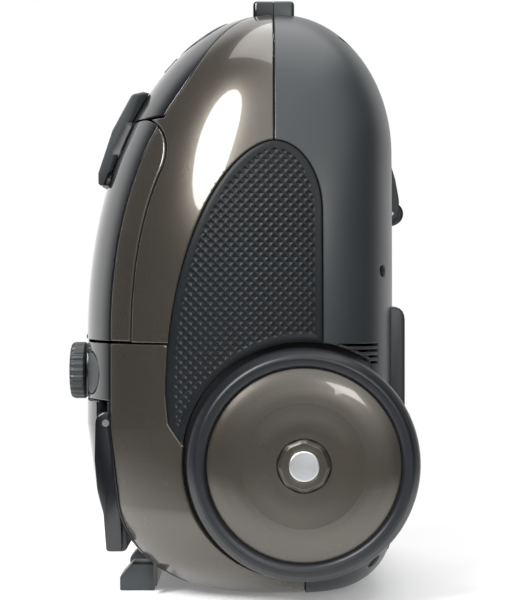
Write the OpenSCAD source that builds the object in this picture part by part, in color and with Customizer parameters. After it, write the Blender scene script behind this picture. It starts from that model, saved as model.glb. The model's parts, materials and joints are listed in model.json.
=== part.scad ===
// Canister vacuum cleaner, parked standing on its rear end.
// +Z runs from the rear face up to the nose, -X is the lid side, +X is the underside,
// Y is the width. The origin lies on the floor, below the parting line of the two shells.

/* [Body] */
// Width of the body at its widest
body_w = 250; // [238:1:300]
// Height of the upper shells over the parting plane
upper_h = 141; // [135:1:170]
// Depth of the base shell under the parting plane
lower_h = 88; // [86:1:106]
// Length of the motor end, from the rear face to the cover seam
rear_len = 181; // [178:1:217]
// Length of the nose, from the cover seam to the tip
nose_len = 247; // [240:1:296]
// Wall of the shells
wall = 3.5; // [2.8:0.1:4.2]
// Rounding of the rear end on the lid side and at the flanks
end_r = 66; // [55:1:70]
// Rounding of the rear end on the underside
low_r = 45; // [36:1:50]
// Length over which the underside curves up to the nose
chin_len = 108; // [90:1:130]
// Gap between neighbouring outer parts
seam = 0.6; // [0.3:0.1:1]

/* [Wheels] */
// Radius of a tyre
wheel_r = 80; // [70:0.5:84]
// Width of a tyre
tyre_w = 30; // [25:1:36]
// Distance from the middle plane to a wheel's inner face
wheel_y = 108; // [107:1:112]
// Height of the wheel axis over the rear face
wheel_z = 99; // [95:1:110]
// Distance of the wheel axis from the parting plane
wheel_x = 20; // [16:1:24]
// Radius of a stub axle
axle_r = 5; // [4:0.1:6]
// Radial clearance of everything that turns or slides
run_gap = 0.05; // [0.02:0.01:0.08]
// Radial gap between a tyre and its arch
arch_gap = 4; // [3:0.5:6]

/* [Caster] */
// Radius of the swivel fork
fork_r = 25; // [24:0.5:28]
// Radius of the caster's roller
roller_r = 9; // [8:0.5:10]
// Distance from the swivel axis to the roller's axis
trail = 16; // [14:0.5:17]
// Height of the swivel axis over the rear face
fork_z = 293; // [270:1:305]

/* [Lid and trim] */
// Half width of the dark centre trim
trim_half = 72; // [66:1:80]
// Half width of the lid
lid_half = 89; // [84:1:94]
// Height of the lid's front edge over the cover seam
lid_len = 162; // [150:1:180]
// Corner radius of the lid
lid_corner_r = 40; // [30:1:45]
// Thickness of the dark trims
trim_t = 1.6; // [1:0.1:2]
// Length of the latch lever
lever_len = 72; // [66:1:80]
// Width of the latch lever
lever_w = 46; // [36:1:56]

/* [Controls] */
// Radius of the suction knob
knob_r = 21.5; // [18:0.5:24]
// How far the suction knob stands out
knob_h = 12.5; // [10:0.5:16]
// Radius of a foot pedal
pedal_r = 15; // [12:0.5:16]
// Distance of a pedal from the middle plane
pedal_y = 42; // [40:0.5:46]
// Travel of a pedal
pedal_travel = 4; // [3:0.5:5]

/* [Carry handle] */
// Height of the handle's pivot over the rear face
bail_z = 123; // [118:1:128]
// Thickness of a handle arm
arm_t = 7; // [5:0.5:8]
// Radius of a handle pin
bail_pin_r = 2.5; // [2:0.1:3]

/* [Hose inlet] */
// Radius of the hose bore
hose_r = 18; // [16:0.5:20]
// Radius of the collar's rim
collar_r = 24; // [23:0.5:25]
// Length of the hose bore
hose_len = 40; // [36:1:46]

/* [Motor and reel] */
// Radius of the fan housing
fan_case_r = 50; // [44:1:52]
// Radius of the stator
stator_r = 41; // [36:1:44]
// Radius of the motor shaft
shaft_r = 4; // [3:0.1:5]
// Radius of the cord reel's flanges
reel_r = 64; // [56:1:66]
// Width of the cord reel
reel_w = 40; // [34:1:42]

/* [Hidden] */

$fn = 48;
ring_n = 48;
total_len = rear_len + nose_len;
body_half = body_w / 2;
taper_power = 2.1;
width_power = 2.6;
upper_power = 2.1;
lower_power = 3.2;
rear_drop = 17;
drop_z = 120;
nose_steps = 10;
far = 400;

brown = [0.40, 0.37, 0.33];
dark_grey = [0.26, 0.28, 0.29];
gloss_black = [0.10, 0.11, 0.12];
rubber_grey = [0.20, 0.22, 0.24];
steel = [0.66, 0.67, 0.69];

// ---- outer form: superelliptic rings stacked along Z; t is the depth below the surface ----

function nose_u(z, t) = max(0, z - rear_len) / (nose_len - t);
function taper(z, t, p) = sqrt(max(0, 1 - pow(nose_u(z, t), p)));
function chin(z, t) = sqrt(max(0, 1 - pow(max(0, z - total_len + chin_len) / (chin_len - t), 2)));
function inset(z, r, t) =
    z >= r ? t : t + (r - t) * (1 - sqrt(max(0, 1 - pow((r - z) / (r - t), 2))));
function upper_at(z, t = 0) = taper(z, t, taper_power)
    * (upper_h - rear_drop * max(0, drop_z - z) / drop_z - inset(z, end_r, t));
function lower_at(z, t = 0) = chin(z, t) * (lower_h - inset(z, low_r, t));
function half_at(z, t = 0) = taper(z, t, width_power) * (body_half - inset(z, end_r, t));
function spow(v, p) = sign(v) * pow(abs(v), p);
function ring(z, t) = [for (k = [0:ring_n - 1])
    let (a = k * 360 / ring_n, c = cos(a), s = sin(a), p = c > 0 ? lower_power : upper_power)
    [(c > 0 ? lower_at(z, t) : upper_at(z, t)) * spow(c, 2 / p), half_at(z, t) * spow(s, 2 / p), z]];
function stations(t) = concat(
    [for (k = [0:4]) end_r - (end_r - t) * cos(18 * k)],
    [end_r, drop_z, rear_len],
    [for (k = [1:nose_steps]) rear_len + (nose_len - t) * sin(k * 87 / nose_steps)]);
// Height of the surface over the parting plane at a place on the underside
function under_at(y, z) = lower_at(z)
    * pow(max(0, 1 - pow(min(1, abs(y) / half_at(z)), lower_power)), 1 / lower_power);
// Height of the surface over the parting plane at a place on the lid side
function top_at(y, z, t = 0) = upper_at(z, t)
    * pow(max(0, 1 - pow(min(1, abs(y) / half_at(z, t)), upper_power)), 1 / upper_power);

module body(t = 0) {
    zs = stations(t);
    m = len(zs);
    points = [for (z = zs) each ring(z, t)];
    sides = [for (i = [0:m - 2]) for (k = [0:ring_n - 1])
        let (a = i * ring_n + k, b = i * ring_n + (k + 1) % ring_n)
        each [[a, a + ring_n, b], [b, a + ring_n, b + ring_n]]];
    ends = [[for (k = [0:ring_n - 1]) k], [for (k = [0:ring_n - 1]) m * ring_n - 1 - k]];
    polyhedron(points, concat(sides, ends));
}

module skin(t0, t1) difference() {
    body(t0);
    body(t1);
}

module box(lo, hi) translate(lo) cube(hi - lo);

// Outlines in the Y-Z plane pushed along X, and outlines in the X-Z plane pushed along Y
module along_x(x0, x1) translate([x0, 0, 0]) rotate([90, 0, 90]) linear_extrude(x1 - x0) children();
module along_y(y0, y1) translate([0, y1, 0]) rotate([90, 0, 0]) linear_extrude(y1 - y0) children();

module cyl_x(r, x0, x1, y = 0, z = 0) translate([x0, y, z]) rotate([0, 90, 0]) cylinder(r = r, h = x1 - x0);
module cyl_y(r, y0, y1, x = 0, z = 0) translate([x, y1, z]) rotate([90, 0, 0]) cylinder(r = r, h = y1 - y0);
module both() {
    children();
    mirror([0, 1, 0]) children();
}

// ---- outlines shared by the parts that meet ----

seam_rear_z = rear_len - 0.7;
lid_rear_z = rear_len + 1.2;
lid_front_z = rear_len + lid_len;

module lid_outline(gap = 0) {
    r = lid_corner_r;
    polygon(concat(
        [[lid_half + gap, lid_rear_z - gap]],
        [for (a = [0:15:90]) [lid_half - r + (r + gap) * cos(a), lid_front_z - r + (r + gap) * sin(a)]],
        [for (a = [90:15:180]) [-lid_half + r + (r + gap) * cos(a), lid_front_z - r + (r + gap) * sin(a)]],
        [[-lid_half - gap, lid_rear_z - gap]]));
}

// Edge of the dark trim: a constant width that narrows with the nose
function trim_edge(z) = min(trim_half, 0.77 * half_at(z));
module trim_outline(z0, gap = 0) {
    stations = [for (k = [1:8]) lid_front_z + (total_len + 12 - lid_front_z) * sin(k * 90 / 8)];
    pts = concat([[trim_edge(z0) + gap, z0 - gap]],
        [for (z = stations) [max(24, trim_edge(min(z, total_len - 3))) + gap, z]]);
    polygon(concat(pts, [for (k = [len(pts) - 1:-1:0]) [-pts[k][0], pts[k][1]]]));
}

// Textured panel in the X-Z plane: a pointed arch over the wheel
panel_apex_z = rear_len + 142;
panel_rear_z = wheel_z + 12;
panel_right = 34;
panel_left = 76;
module panel_outline(gap = 0) offset(delta = -gap) polygon(concat(
    [[panel_right, panel_rear_z]],
    [for (a = [0:15:75]) [panel_right * cos(a) - 0.5, panel_apex_z - 50 + 50 * sin(a)]],
    [for (u = [0:0.125:1]) [-panel_left * pow(sin(90 * u), 1.15), panel_apex_z - 178 * (1 - cos(90 * u))]],
    [[-panel_left + 2, panel_rear_z + 14], [-panel_left + 12, panel_rear_z]]));

// ---- shells ----

arch_r = wheel_r + arch_gap;
arch_y = wheel_y - 4;
step_x = 22;
step_z = 50;
module arch(grow = 0) both() cyl_y(arch_r + grow, arch_y - grow, far, wheel_x, wheel_z);

// The side of the parting line that belongs to the base shell
module base_zone(gap = 0) difference() {
    box([gap, -far, -10], [far, far, far * 2]);
    box([-1, -far, -11], [step_x + gap, far, step_z + gap]);
}
module upper_zone(gap = 0) union() {
    box([-far, -far, -10], [-gap, far, far * 2]);
    box([-gap - 1, -far, -10], [step_x - gap, far, step_z - gap]);
}

module shell_wall() difference() {
    body();
    difference() {
        body(wall);
        arch(wall);
    }
    arch();
}

nose_boss_w = 44;
nose_boss_h = 15.5;
nose_boss_top = total_len + 8;
nose_boss_cut = 2;
// Half of the boss, from the parting plane out to its side at x1
module nose_boss() along_y(-nose_boss_w / 2, nose_boss_w / 2) polygon([
    [seam / 2, total_len - 6], [seam / 2, nose_boss_top], [nose_boss_h - nose_boss_cut, nose_boss_top],
    [nose_boss_h, nose_boss_top - nose_boss_cut], [nose_boss_h, total_len - 6]]);

pan_x = lower_h + 7;
pan_top_z = rear_len + 26;
pan_half = 62;
slot_w = 26;
slot_t = 5;
slot_deep = 34;
grille_x0 = 27;
grille_n = 7;
grille_pitch = 5.2;
grille_half = 52;
vent_n = 4;
vent_pitch = 4.1;
vent_t = 1.8;
vent_x0 = 44;
vent_x1 = 72.5;
vent_z0 = 168;
screw_r = 2;
head_deep = 9;
screw_sites = [[38, total_len - 26], [90, rear_len + 51], [84, 26]];
fork_gap = 1;
fork_floor_x = lower_h - 9.5;
stem_r = 4;
rib_z = 46;
motor_x = -20;
motor_y = 24;
reel_y0 = -88;

module raised_pan() difference() {
    along_y(-pan_half, pan_half) polygon(concat(
        [[60, 20], [pan_x - 16, 22], [pan_x - 9, 42], [pan_x - 3, 62], [pan_x, 84]],
        [for (a = [0:15:90]) [pan_x - 9 + 9 * cos(a), pan_top_z - 14 + 14 * sin(a)]],
        [[60, pan_top_z]]));
    body(wall);
}

module base_shell() color(dark_grey) difference() {
    union() {
        intersection() {
            shell_wall();
            base_zone(seam / 2);
        }
        raised_pan();
        nose_boss();
        // caster socket
        difference() {
            cyl_x(fork_r + fork_gap + 3, fork_floor_x - 3, lower_h - 1.5, 0, fork_z);
            cyl_x(fork_r + fork_gap, fork_floor_x, far, 0, fork_z);
        }
        cyl_x(stem_r + 4, fork_floor_x - 20, fork_floor_x, 0, fork_z);
        // bosses that hold the stub axles
        both() cyl_y(axle_r + 6, reel_boss_y, arch_y - 0.5, wheel_x, wheel_z);
        // rib under the motor, rib beside the reel bracket, screw posts up to the covers
        intersection() {
            body(wall - 0.5);
            union() {
                box([seam / 2 + 1, motor_y - 20, rib_z - 4], [far, motor_y + 20, rib_z]);
                box([lower_h - wall - 6, bracket_y, 60], [far, bracket_y + 3, 130]);
                both() for (s = screw_sites) cyl_x(screw_r + 3, seam / 2, far, s[0], s[1]);
            }
        }
    }
    cyl_x(fork_r + fork_gap, fork_floor_x, far, 0, fork_z);
    cyl_x(stem_r + run_gap, 0, far, 0, fork_z);
    both() {
        cyl_y(axle_r + 0.02, 0, far, wheel_x, wheel_z);
        for (s = screw_sites) {
            cyl_x(screw_r + 0.3, 0, far, s[0], s[1]);
            cyl_x(screw_r + 2.2, under_at(s[0], s[1]) - head_deep, far, s[0], s[1]);
        }
        for (i = [0:vent_n - 1])
            box([vent_x0, body_half - 40, vent_z0 + vent_pitch * i - vent_t / 2],
                [vent_x1, far, vent_z0 + vent_pitch * i + vent_t / 2]);
    }
    panel_recess();
    // exhaust grille in the rear face
    for (i = [0:grille_n - 1])
        box([grille_x0 + grille_pitch * i, -grille_half, -1],
            [grille_x0 + grille_pitch * i + 2.6, grille_half, 14 + 2 * i]);
    // parking slot for the hook of the floor tool
    box([pan_x - 2 - slot_t, -slot_w / 2, pan_top_z - slot_deep], [pan_x - 2, slot_w / 2, far]);
}
reel_boss_y = 93;
bracket_y = reel_y0 + reel_w + 3;

panel_t = 1.6;
module panel_recess() difference() {
    both() along_y(10, far) panel_outline();
    body(panel_t + 0.2);
}
module side_panel() color(rubber_grey) difference() {
    intersection() {
        skin(0, panel_t);
        along_y(0, far) panel_outline(0.4);
    }
    arch(0.3);
}
module side_panel_left() mirror([0, 1, 0]) side_panel();
module side_panel_right() side_panel();

module cover_screw_posts(sites) difference() {
    intersection() {
        body(wall - 0.5);
        both() for (s = sites) difference() {
            union() {
                cyl_x(screw_r + 3, -34, -seam / 2, s[0], s[1]);
                box([-34, s[0], s[1] - 1.5], [-seam / 2 - 2, far, s[1] + 1.5]);
            }
            cyl_x(screw_r, -28, 1, s[0], s[1]);
        }
    }
    arch();
}

// Tilt about Y that sets a part square to the middle of the strip
function strip_tilt(z) = -atan(2 / (upper_at(z - 1) - upper_at(z + 1)));
collar_z = total_len - 18;
collar_x = -upper_at(collar_z);
collar_tilt = strip_tilt(collar_z);
collar_sink = 1.5;
module at_collar() translate([collar_x, 0, collar_z]) rotate([0, collar_tilt, 0]) children();
window_z = total_len - 39;
window_x = -upper_at(window_z);
window_tilt = strip_tilt(window_z);
module at_window() translate([window_x, 0, window_z]) rotate([0, window_tilt, 0]) children();

module front_cover() color(brown) difference() {
    union() {
        intersection() {
            shell_wall();
            upper_zone(seam / 2);
            box([-far, -far, rear_len + 0.3], [far, far, far * 2]);
        }
        cover_screw_posts([screw_sites[0], screw_sites[1]]);
    }
    along_x(-far, -30) lid_outline(1.2);
    difference() {
        along_x(-far, -0.2) trim_outline(lid_front_z, 0.3);
        body(trim_t + 0.2);
    }
    at_collar() translate([0, 0, -60]) cylinder(r = collar_r + 0.4, h = 80);
    at_window() box([-9, -9, -20], [9, 9, 20]);
    lever_slot();
    panel_recess();
}

module rear_cover() color(brown) difference() {
    union() {
        intersection() {
            shell_wall();
            upper_zone(seam / 2);
            box([-far, -far, -10], [far, far, seam_rear_z]);
        }
        cover_screw_posts([screw_sites[2]]);
    }
    box([-far, -trim_half, -10], [-rear_floor_x, trim_half, far]);
    panel_recess();
}

// ---- lid, its trim, hinge and latch ----

hinge_x = -upper_h + 2.7;
hinge_z = lid_rear_z + 2;
hinge_r = 2.6;
hinge_pin_r = 1.2;
hinge_half = 16;
knuckle = hinge_half * 2 / 5;
lid_t = 3.4;

module knuckles(which) for (i = which)
    cyl_y(hinge_r, -hinge_half + knuckle * i + 0.2, -hinge_half + knuckle * (i + 1) - 0.2, hinge_x, hinge_z);
// Room in the lid for the two fixed knuckles
module knuckle_notches() for (i = [1, 3])
    box([-far, -hinge_half + knuckle * i, 0], [0, -hinge_half + knuckle * (i + 1), hinge_z + hinge_r + 0.6]);

module lid() color(brown) difference() {
    union() {
        difference() {
            intersection() {
                skin(0, lid_t);
                along_x(-far, -30) lid_outline();
            }
            difference() {
                box([-far, -trim_half - 0.2, 0], [0, trim_half + 0.2, far * 2]);
                body(trim_t + 0.1);
            }
        }
        knuckles([0, 2, 4]);
        lever_ears();
    }
    knuckle_notches();
    cyl_y(hinge_pin_r + run_gap, -far, far, hinge_x, hinge_z);
}

module lid_trim() color(gloss_black) difference() {
    intersection() {
        skin(0, trim_t);
        along_x(-far, -30) lid_outline();
        box([-far, -trim_half, 0], [0, trim_half, far * 2]);
    }
    cyl_y(hinge_r + 0.2, -hinge_half - 0.4, hinge_half + 0.4, hinge_x, hinge_z);
    box([-far, -hinge_half - 0.4, 0], [0, hinge_half + 0.4, hinge_z]);
    knuckle_notches();
    ear_zones(0.4);
}

module lid_hinge_pin() color(steel) cyl_y(hinge_pin_r, -hinge_half, hinge_half, hinge_x, hinge_z);

// Latch lever: pivots at its rear end, its front end hooks over the nose
lever_pin_z = lid_front_z - 42.5;
lever_pin_x = -upper_at(lever_pin_z) - 4;
lever_pin_r = 1.5;
lever_end_r = 3.4;
lever_stand = 13;
ear_y = lever_w / 2 - 8;
ear_t = 4;
ear_r = 3;

module ear_zones(gap) both() box([-far, ear_y - ear_t - gap, lever_pin_z - ear_r - gap],
    [-60, ear_y + gap, lever_pin_z + ear_r + gap]);
module lever_ears() difference() {
    intersection() {
        ear_zones(0);
        union() {
            cyl_y(ear_r, -far, far, lever_pin_x, lever_pin_z);
            box([lever_pin_x, -far, 0], [-upper_at(lever_pin_z, lid_t), far, far]);
        }
    }
    cyl_y(lever_pin_r + 0.02, -far, far, lever_pin_x, lever_pin_z);
}
module lever_profile() polygon(concat(
    [for (a = [180:30:360]) [lever_pin_x + lever_end_r * cos(a), lever_pin_z + lever_end_r * sin(a)]],
    [[lever_pin_x + 12, lever_pin_z + 4], [-80, lever_pin_z + lever_len - 6],
        [-upper_at(lever_pin_z + lever_len) - 3, lever_pin_z + lever_len],
        [-upper_at(lever_pin_z + lever_len) - 12, lever_pin_z + lever_len - 1.5]],
    [for (k = [5:-1:0]) let (z = lever_pin_z + 9 + k * (lever_len - 16) / 5)
        [-upper_at(z) - lever_stand - 0.4 * k + (k == 0 ? 1.6 : 0), z]]));
module latch_lever() color(dark_grey) difference() {
    union() {
        difference() {
            along_y(-lever_w / 2, lever_w / 2) lever_profile();
            body(-0.4);
            // slit under the middle of the lever
            along_y(-far, far) polygon(concat(
                [for (k = [0:3]) let (z = lever_pin_z + 20 + k * 8) [-upper_at(z) - 3, z]],
                [[-60, lever_pin_z + 44], [-60, lever_pin_z + 20]]));
        }
        // hook
        box([-upper_at(lever_pin_z + 56) - 6, -hook_half, lever_pin_z + 56],
            [-upper_at(lever_pin_z + 56) + 6, hook_half, lever_pin_z + 58]);
    }
    // room for the ears of the lid
    both() box([lever_pin_x - ear_r - 0.6, ear_y - ear_t - 0.4, lever_pin_z - far],
        [far, ear_y + 0.4, lever_pin_z + ear_r + 1.6]);
    cyl_y(lever_pin_r + run_gap, -far, far, lever_pin_x, lever_pin_z);
}
hook_half = 7;
module latch_pin() color(steel)
    cyl_y(lever_pin_r, -lever_w / 2 + 1, lever_w / 2 - 1, lever_pin_x, lever_pin_z);
module lever_slot() box([-far, -hook_half - 1, lever_pin_z + 55], [-60, hook_half + 1, lever_pin_z + 63]);

module lid_seal() color(gloss_black) intersection() {
    skin(lid_t + 0.3, lid_t + 2.3);
    along_x(-far, -30) difference() {
        lid_outline(-8);
        lid_outline(-12);
    }
}

// ---- nose: trim, bag-full window and hose inlet ----

module nose_trim() color(gloss_black) difference() {
    union() {
        intersection() {
            skin(0, trim_t);
            along_x(-far, -seam / 2) trim_outline(lid_front_z + 1.2);
        }
        difference() {
            mirror([1, 0, 0]) nose_boss();
            body();
        }
    }
    at_collar() translate([0, 0, -60]) cylinder(r = collar_r + 0.4, h = 80);
    at_window() box([-7.3, -7.3, -20], [7.3, 7.3, 20]);
    along_x(-far, -30) lid_outline(1.2);
    lever_slot();
}

module bag_window() color(gloss_black) at_window() difference() {
    box([-7, -7, -3], [7, 7, 0.8]);
    box([-5.5, -5, -1.6], [-0.7, 5, 1]);
    box([0.7, -5, -1.6], [5.5, 5, 1]);
}

module hose_inlet() color(dark_grey) at_collar() difference() {
    union() {
        translate([0, 0, -8]) cylinder(r = collar_r, h = 8 - collar_sink);
        translate([0, 0, -12]) cylinder(r = collar_r + 4, h = 2.6);
        translate([0, 0, -hose_len]) cylinder(r = hose_r + 3.5, h = hose_len - 8);
    }
    translate([0, 0, -hose_len - 1]) cylinder(r = hose_r, h = hose_len + 10);
}
module inlet_seal() color(gloss_black) at_collar() translate([0, 0, -hose_len - 3.2]) difference() {
    cylinder(r = hose_r + 3.5, h = 3);
    translate([0, 0, -1]) cylinder(r = hose_r - 1, h = 6);
}

// ---- dust bag chamber ----

chamber_z0 = rear_len + 5;
chamber_z1 = total_len - 38;
chamber_t = 2;
chamber_half = 82;
module bag_chamber() color(dark_grey) difference() {
    intersection() {
        body(wall + 2.6);
        box([-far, -chamber_half, chamber_z0], [-2, chamber_half, chamber_z1]);
    }
    intersection() {
        body(wall + 2.6 + chamber_t);
        box([-far, -chamber_half + chamber_t, chamber_z0 + chamber_t],
            [-2 - chamber_t, chamber_half - chamber_t, chamber_z1 - chamber_t]);
    }
    along_x(-far, -40) lid_outline(-13);
    at_collar() translate([0, 0, -90]) cylinder(r = hose_r + 4, h = 82);
    at_collar() translate([0, 0, -14]) cylinder(r = collar_r + 5, h = 30);
    for (i = [0:4]) box([-90 + i * 15, -40, 0], [-82 + i * 15, 40, chamber_z0 + chamber_t + 1]);
}
module bag_holder() color(dark_grey) at_collar() translate([0, 0, -hose_len - 5.6]) difference() {
    box([-21, -32, -2], [21, 32, 2]);
    translate([0, 0, -5]) cylinder(r = hose_r + 1, h = 10);
}
module dust_bag() color("linen") difference() {
    intersection() {
        body(wall + 12);
        box([-far, -72, chamber_z0 + 18], [-12, 72, chamber_z1 - 36]);
    }
    at_collar() box([-80, -60, -hose_len - 9], [60, 60, 60]);
}
module motor_filter() color("dimgray")
    box([-100, -46, chamber_z0 + chamber_t + 1], [-16, 46, chamber_z0 + chamber_t + 11]);

// ---- motor ----

bulk_z = rear_len - 4.5;
case_z = bulk_z - 38;
bearing_r = 10;
module at_motor(z = 0) translate([motor_x, motor_y, z]) children();
module ring_z(r1, r0, h) difference() {
    cylinder(r = r1, h = h);
    translate([0, 0, -1]) cylinder(r = r0, h = h + 2);
}
module motor_bulkhead() color(dark_grey) difference() {
    intersection() {
        body(wall + 0.6);
        box([-118, -far, bulk_z], [far, far, bulk_z + 3]);
    }
    at_motor(0) cylinder(r = 26, h = far);
    arch(wall + 1);
}
module motor_gasket() color(gloss_black) at_motor(bulk_z - 8.1) ring_z(36, 27, 8);
module fan_housing() color(steel) at_motor(case_z) difference() {
    union() {
        cylinder(r = fan_case_r, h = 29.8);
        translate([0, 0, -9.5]) cylinder(r = bearing_r + 3, h = 10);
    }
    translate([0, 0, 2]) cylinder(r = fan_case_r - 1.5, h = 26.3);
    translate([0, 0, 20]) cylinder(r = 24, h = far);
    translate([0, 0, -20]) cylinder(r = bearing_r + 0.02, h = 30);
    for (a = [0:45:315]) rotate(a) translate([fan_case_r - 12, 0, -1]) cylinder(r = 6, h = 4);
}
module fan() color(steel) at_motor(case_z + 8) {
    difference() {
        union() {
            cylinder(r = fan_case_r - 6, h = 1.5);
            cylinder(r = 12, h = 14);
            for (a = [0:40:320])
                rotate(a) translate([11, -0.8, 1]) rotate(14) cube([fan_case_r - 19, 1.6, 12.6]);
        }
        translate([0, 0, -1]) cylinder(r = shaft_r + 0.02, h = 20);
    }
    difference() {
        translate([0, 0, 13]) cylinder(r = fan_case_r - 6, h = 1.2);
        translate([0, 0, 12]) cylinder(r = 20, h = 4);
    }
}
module rotor() color("chocolate") at_motor(case_z - 84) {
    cylinder(r = shaft_r, h = 108);
    translate([0, 0, 38]) ring_z(22, shaft_r - 0.5, 34);
    translate([0, 0, 16]) ring_z(11, shaft_r - 0.5, 14);
}
module stator() color("slategray") at_motor(case_z - 50) difference() {
    cylinder(r = stator_r, h = 40);
    translate([0, 0, -1]) cylinder(r = 23, h = 44);
}
module motor_bracket() color(steel) at_motor(case_z - 86) difference() {
    union() {
        cylinder(r = 16, h = 12);
        for (a = [45:90:315]) rotate(a) translate([12, -4, 0]) cube([stator_r - 14, 8, 3]);
        for (a = [45:90:315]) rotate(a) translate([stator_r - 5, -4, 0]) cube([4, 8, 35.8]);
    }
    translate([0, 0, 2]) cylinder(r = 8.02, h = 12);
    translate([0, 0, 0]) cylinder(r = shaft_r + 1, h = 4);
}
module motor_bearings() color(steel) {
    at_motor(case_z - 83.8) ring_z(8, shaft_r + run_gap, 7);
    at_motor(case_z - 9.2) ring_z(bearing_r, shaft_r + run_gap, 9);
}
module carbon_brushes() color(gloss_black) at_motor(case_z - 64) for (a = [0, 180])
    rotate(a) translate([11.1, -3, 0]) cube([16, 6, 7]);
module motor_mount() color(gloss_black) at_motor(rib_z + 0.1) ring_z(20, 10, case_z - 86 - rib_z - 0.2);

// ---- cord reel ----

reel_z = wheel_z;
module reel_drum() color("gray") translate([0, reel_y0, reel_z]) rotate([-90, 0, 0]) difference() {
    union() {
        cylinder(r = reel_r, h = 2);
        cylinder(r = 30, h = reel_w);
        translate([0, 0, reel_w - 2]) cylinder(r = reel_r, h = 2);
    }
    translate([0, 0, 3]) cylinder(r = 27, h = reel_w);
    translate([0, 0, -1]) cylinder(r = axle_r + run_gap, h = far);
}
module reel_spring() color(steel) translate([0, reel_y0 + 8, reel_z]) rotate([-90, 0, 0]) ring_z(25, 8, 22);
module reel_bracket() color(dark_grey) {
    cyl_y(axle_r, reel_y0 - 1, bracket_y + 1, 0, reel_z);
    difference() {
        union() {
            cyl_y(34, bracket_y - 2.6, bracket_y - 0.2, 0, reel_z);
            box([0, bracket_y - 2.6, reel_z - 22], [lower_h - wall - 2, bracket_y - 0.2, reel_z + 22]);
        }
        cyl_y(axle_r - 1, -far, far, 0, reel_z);
    }
}

// ---- controls ----

control_z0 = 139;
module control_panel() color(gloss_black) difference() {
    union() {
        intersection() {
            skin(0, 3);
            box([-far, -trim_half + seam, control_z0], [0, trim_half - seam, seam_rear_z]);
        }
        // fixed knuckles of the lid hinge
        knuckles([1, 3]);
        for (i = [1, 3]) box([hinge_x - 1.6, -hinge_half + knuckle * i + 0.2, seam_rear_z - 4],
            [hinge_x + 2.2, -hinge_half + knuckle * (i + 1) - 0.2, hinge_z]);
        // guide tubes of the pedals
        both() translate([-top_at(pedal_y - 8, pedal_z) + 4, 0, 0])
            cyl_x(pedal_r + 3, 0, 16, pedal_y, pedal_z);
    }
    cyl_y(hinge_pin_r + 0.02, -far, far, hinge_x, hinge_z);
    cyl_x(5.5, -far, 0, 0, pedal_z);
    both() cyl_x(pedal_r + 0.4, -far, 0, pedal_y, pedal_z);
}
pedal_z = 158;

module suction_knob() color(dark_grey) difference() {
    union() {
        cyl_x(knob_r, -upper_h - knob_h, -upper_h - 0.8, 0, pedal_z);
        cyl_x(3, -upper_h - 1, -upper_h + 17, 0, pedal_z);
    }
    for (a = [0:15:345]) translate([0, 0, pedal_z]) rotate([a, 0, 0])
        cyl_x(1.1, -upper_h - knob_h - 1, -upper_h - 2.5, 0, knob_r + 0.4);
}
module pedal() difference() {
    union() {
        intersection() {
            cyl_x(pedal_r, -far, -top_at(pedal_y, pedal_z) + 12, pedal_y, pedal_z);
            body(-0.6);
        }
        cyl_x(3, -top_at(pedal_y, pedal_z) + 10, -top_at(pedal_y, pedal_z) + 20, pedal_y, pedal_z);
    }
}
module power_pedal() color(dark_grey) pedal();
module rewind_pedal() color(dark_grey) mirror([0, 1, 0]) pedal();
board_x = -upper_h + 22;
module circuit_board() color("darkgreen") {
    box([board_x, -24, pedal_z - 15], [board_x + 1.6, 24, pedal_z + 15]);
    difference() {
        cyl_x(9, board_x - 10, board_x - 0.1, 0, pedal_z);
        cyl_x(3 + run_gap, board_x - 12, far, 0, pedal_z);
    }
}
module power_switch() color(gloss_black) {
    x = -top_at(pedal_y, pedal_z) + 20 + pedal_travel + 1;
    box([x, pedal_y - 8, pedal_z - 8], [x + 14, pedal_y + 8, pedal_z + 8]);
}

// ---- rear trim, carry handle, grip and feet ----

rear_floor_x = 84;
channel_x = 107;
hump_half = trim_half - 17;
rear_z1 = control_z0 - 0.6;
grip_z0 = 29;
grip_z1 = 52;
wall_in = trim_half - seam - 2.4;
bail_x = -121;
outlet_z = 20;
cord_hole_r = 4.2;

module rear_trim() color(gloss_black) difference() {
    union() {
        intersection() {
            body();
            union() {
                difference() {
                    box([-far, -hump_half, grip_z1 + 2], [-channel_x, hump_half, rear_z1]);
                    intersection() {
                        body(3);
                        box([-far, -hump_half + 2.5, grip_z1 + 4.5], [0, hump_half - 2.5, rear_z1 - 2.5]);
                    }
                }
                both() {
                    box([-channel_x, hump_half - 2.5, grip_z1 + 2],
                        [-channel_x + 2.5, trim_half - seam, rear_z1]);
                    box([-far, wall_in, grip_z1 + 2], [-channel_x + 2.5, trim_half - seam, rear_z1]);
                    box([-far, wall_in, 4], [-rear_floor_x, trim_half - seam, grip_z1 + 4.5]);
                }
                box([-channel_x, -trim_half + seam, grip_z1 + 2],
                    [-rear_floor_x, trim_half - seam, grip_z1 + 4.5]);
                box([-rear_floor_x - 2.5, -trim_half + seam, 4],
                    [-rear_floor_x, trim_half - seam, grip_z1 + 4.5]);
            }
        }
        both() cyl_y(6, wall_in, trim_half - seam, bail_x, bail_z);
    }
    cyl_y(bail_pin_r + 0.02, -far, far, bail_x, bail_z);
    cyl_x(6.7, -far, 0, 0, outlet_z);
}

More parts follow.
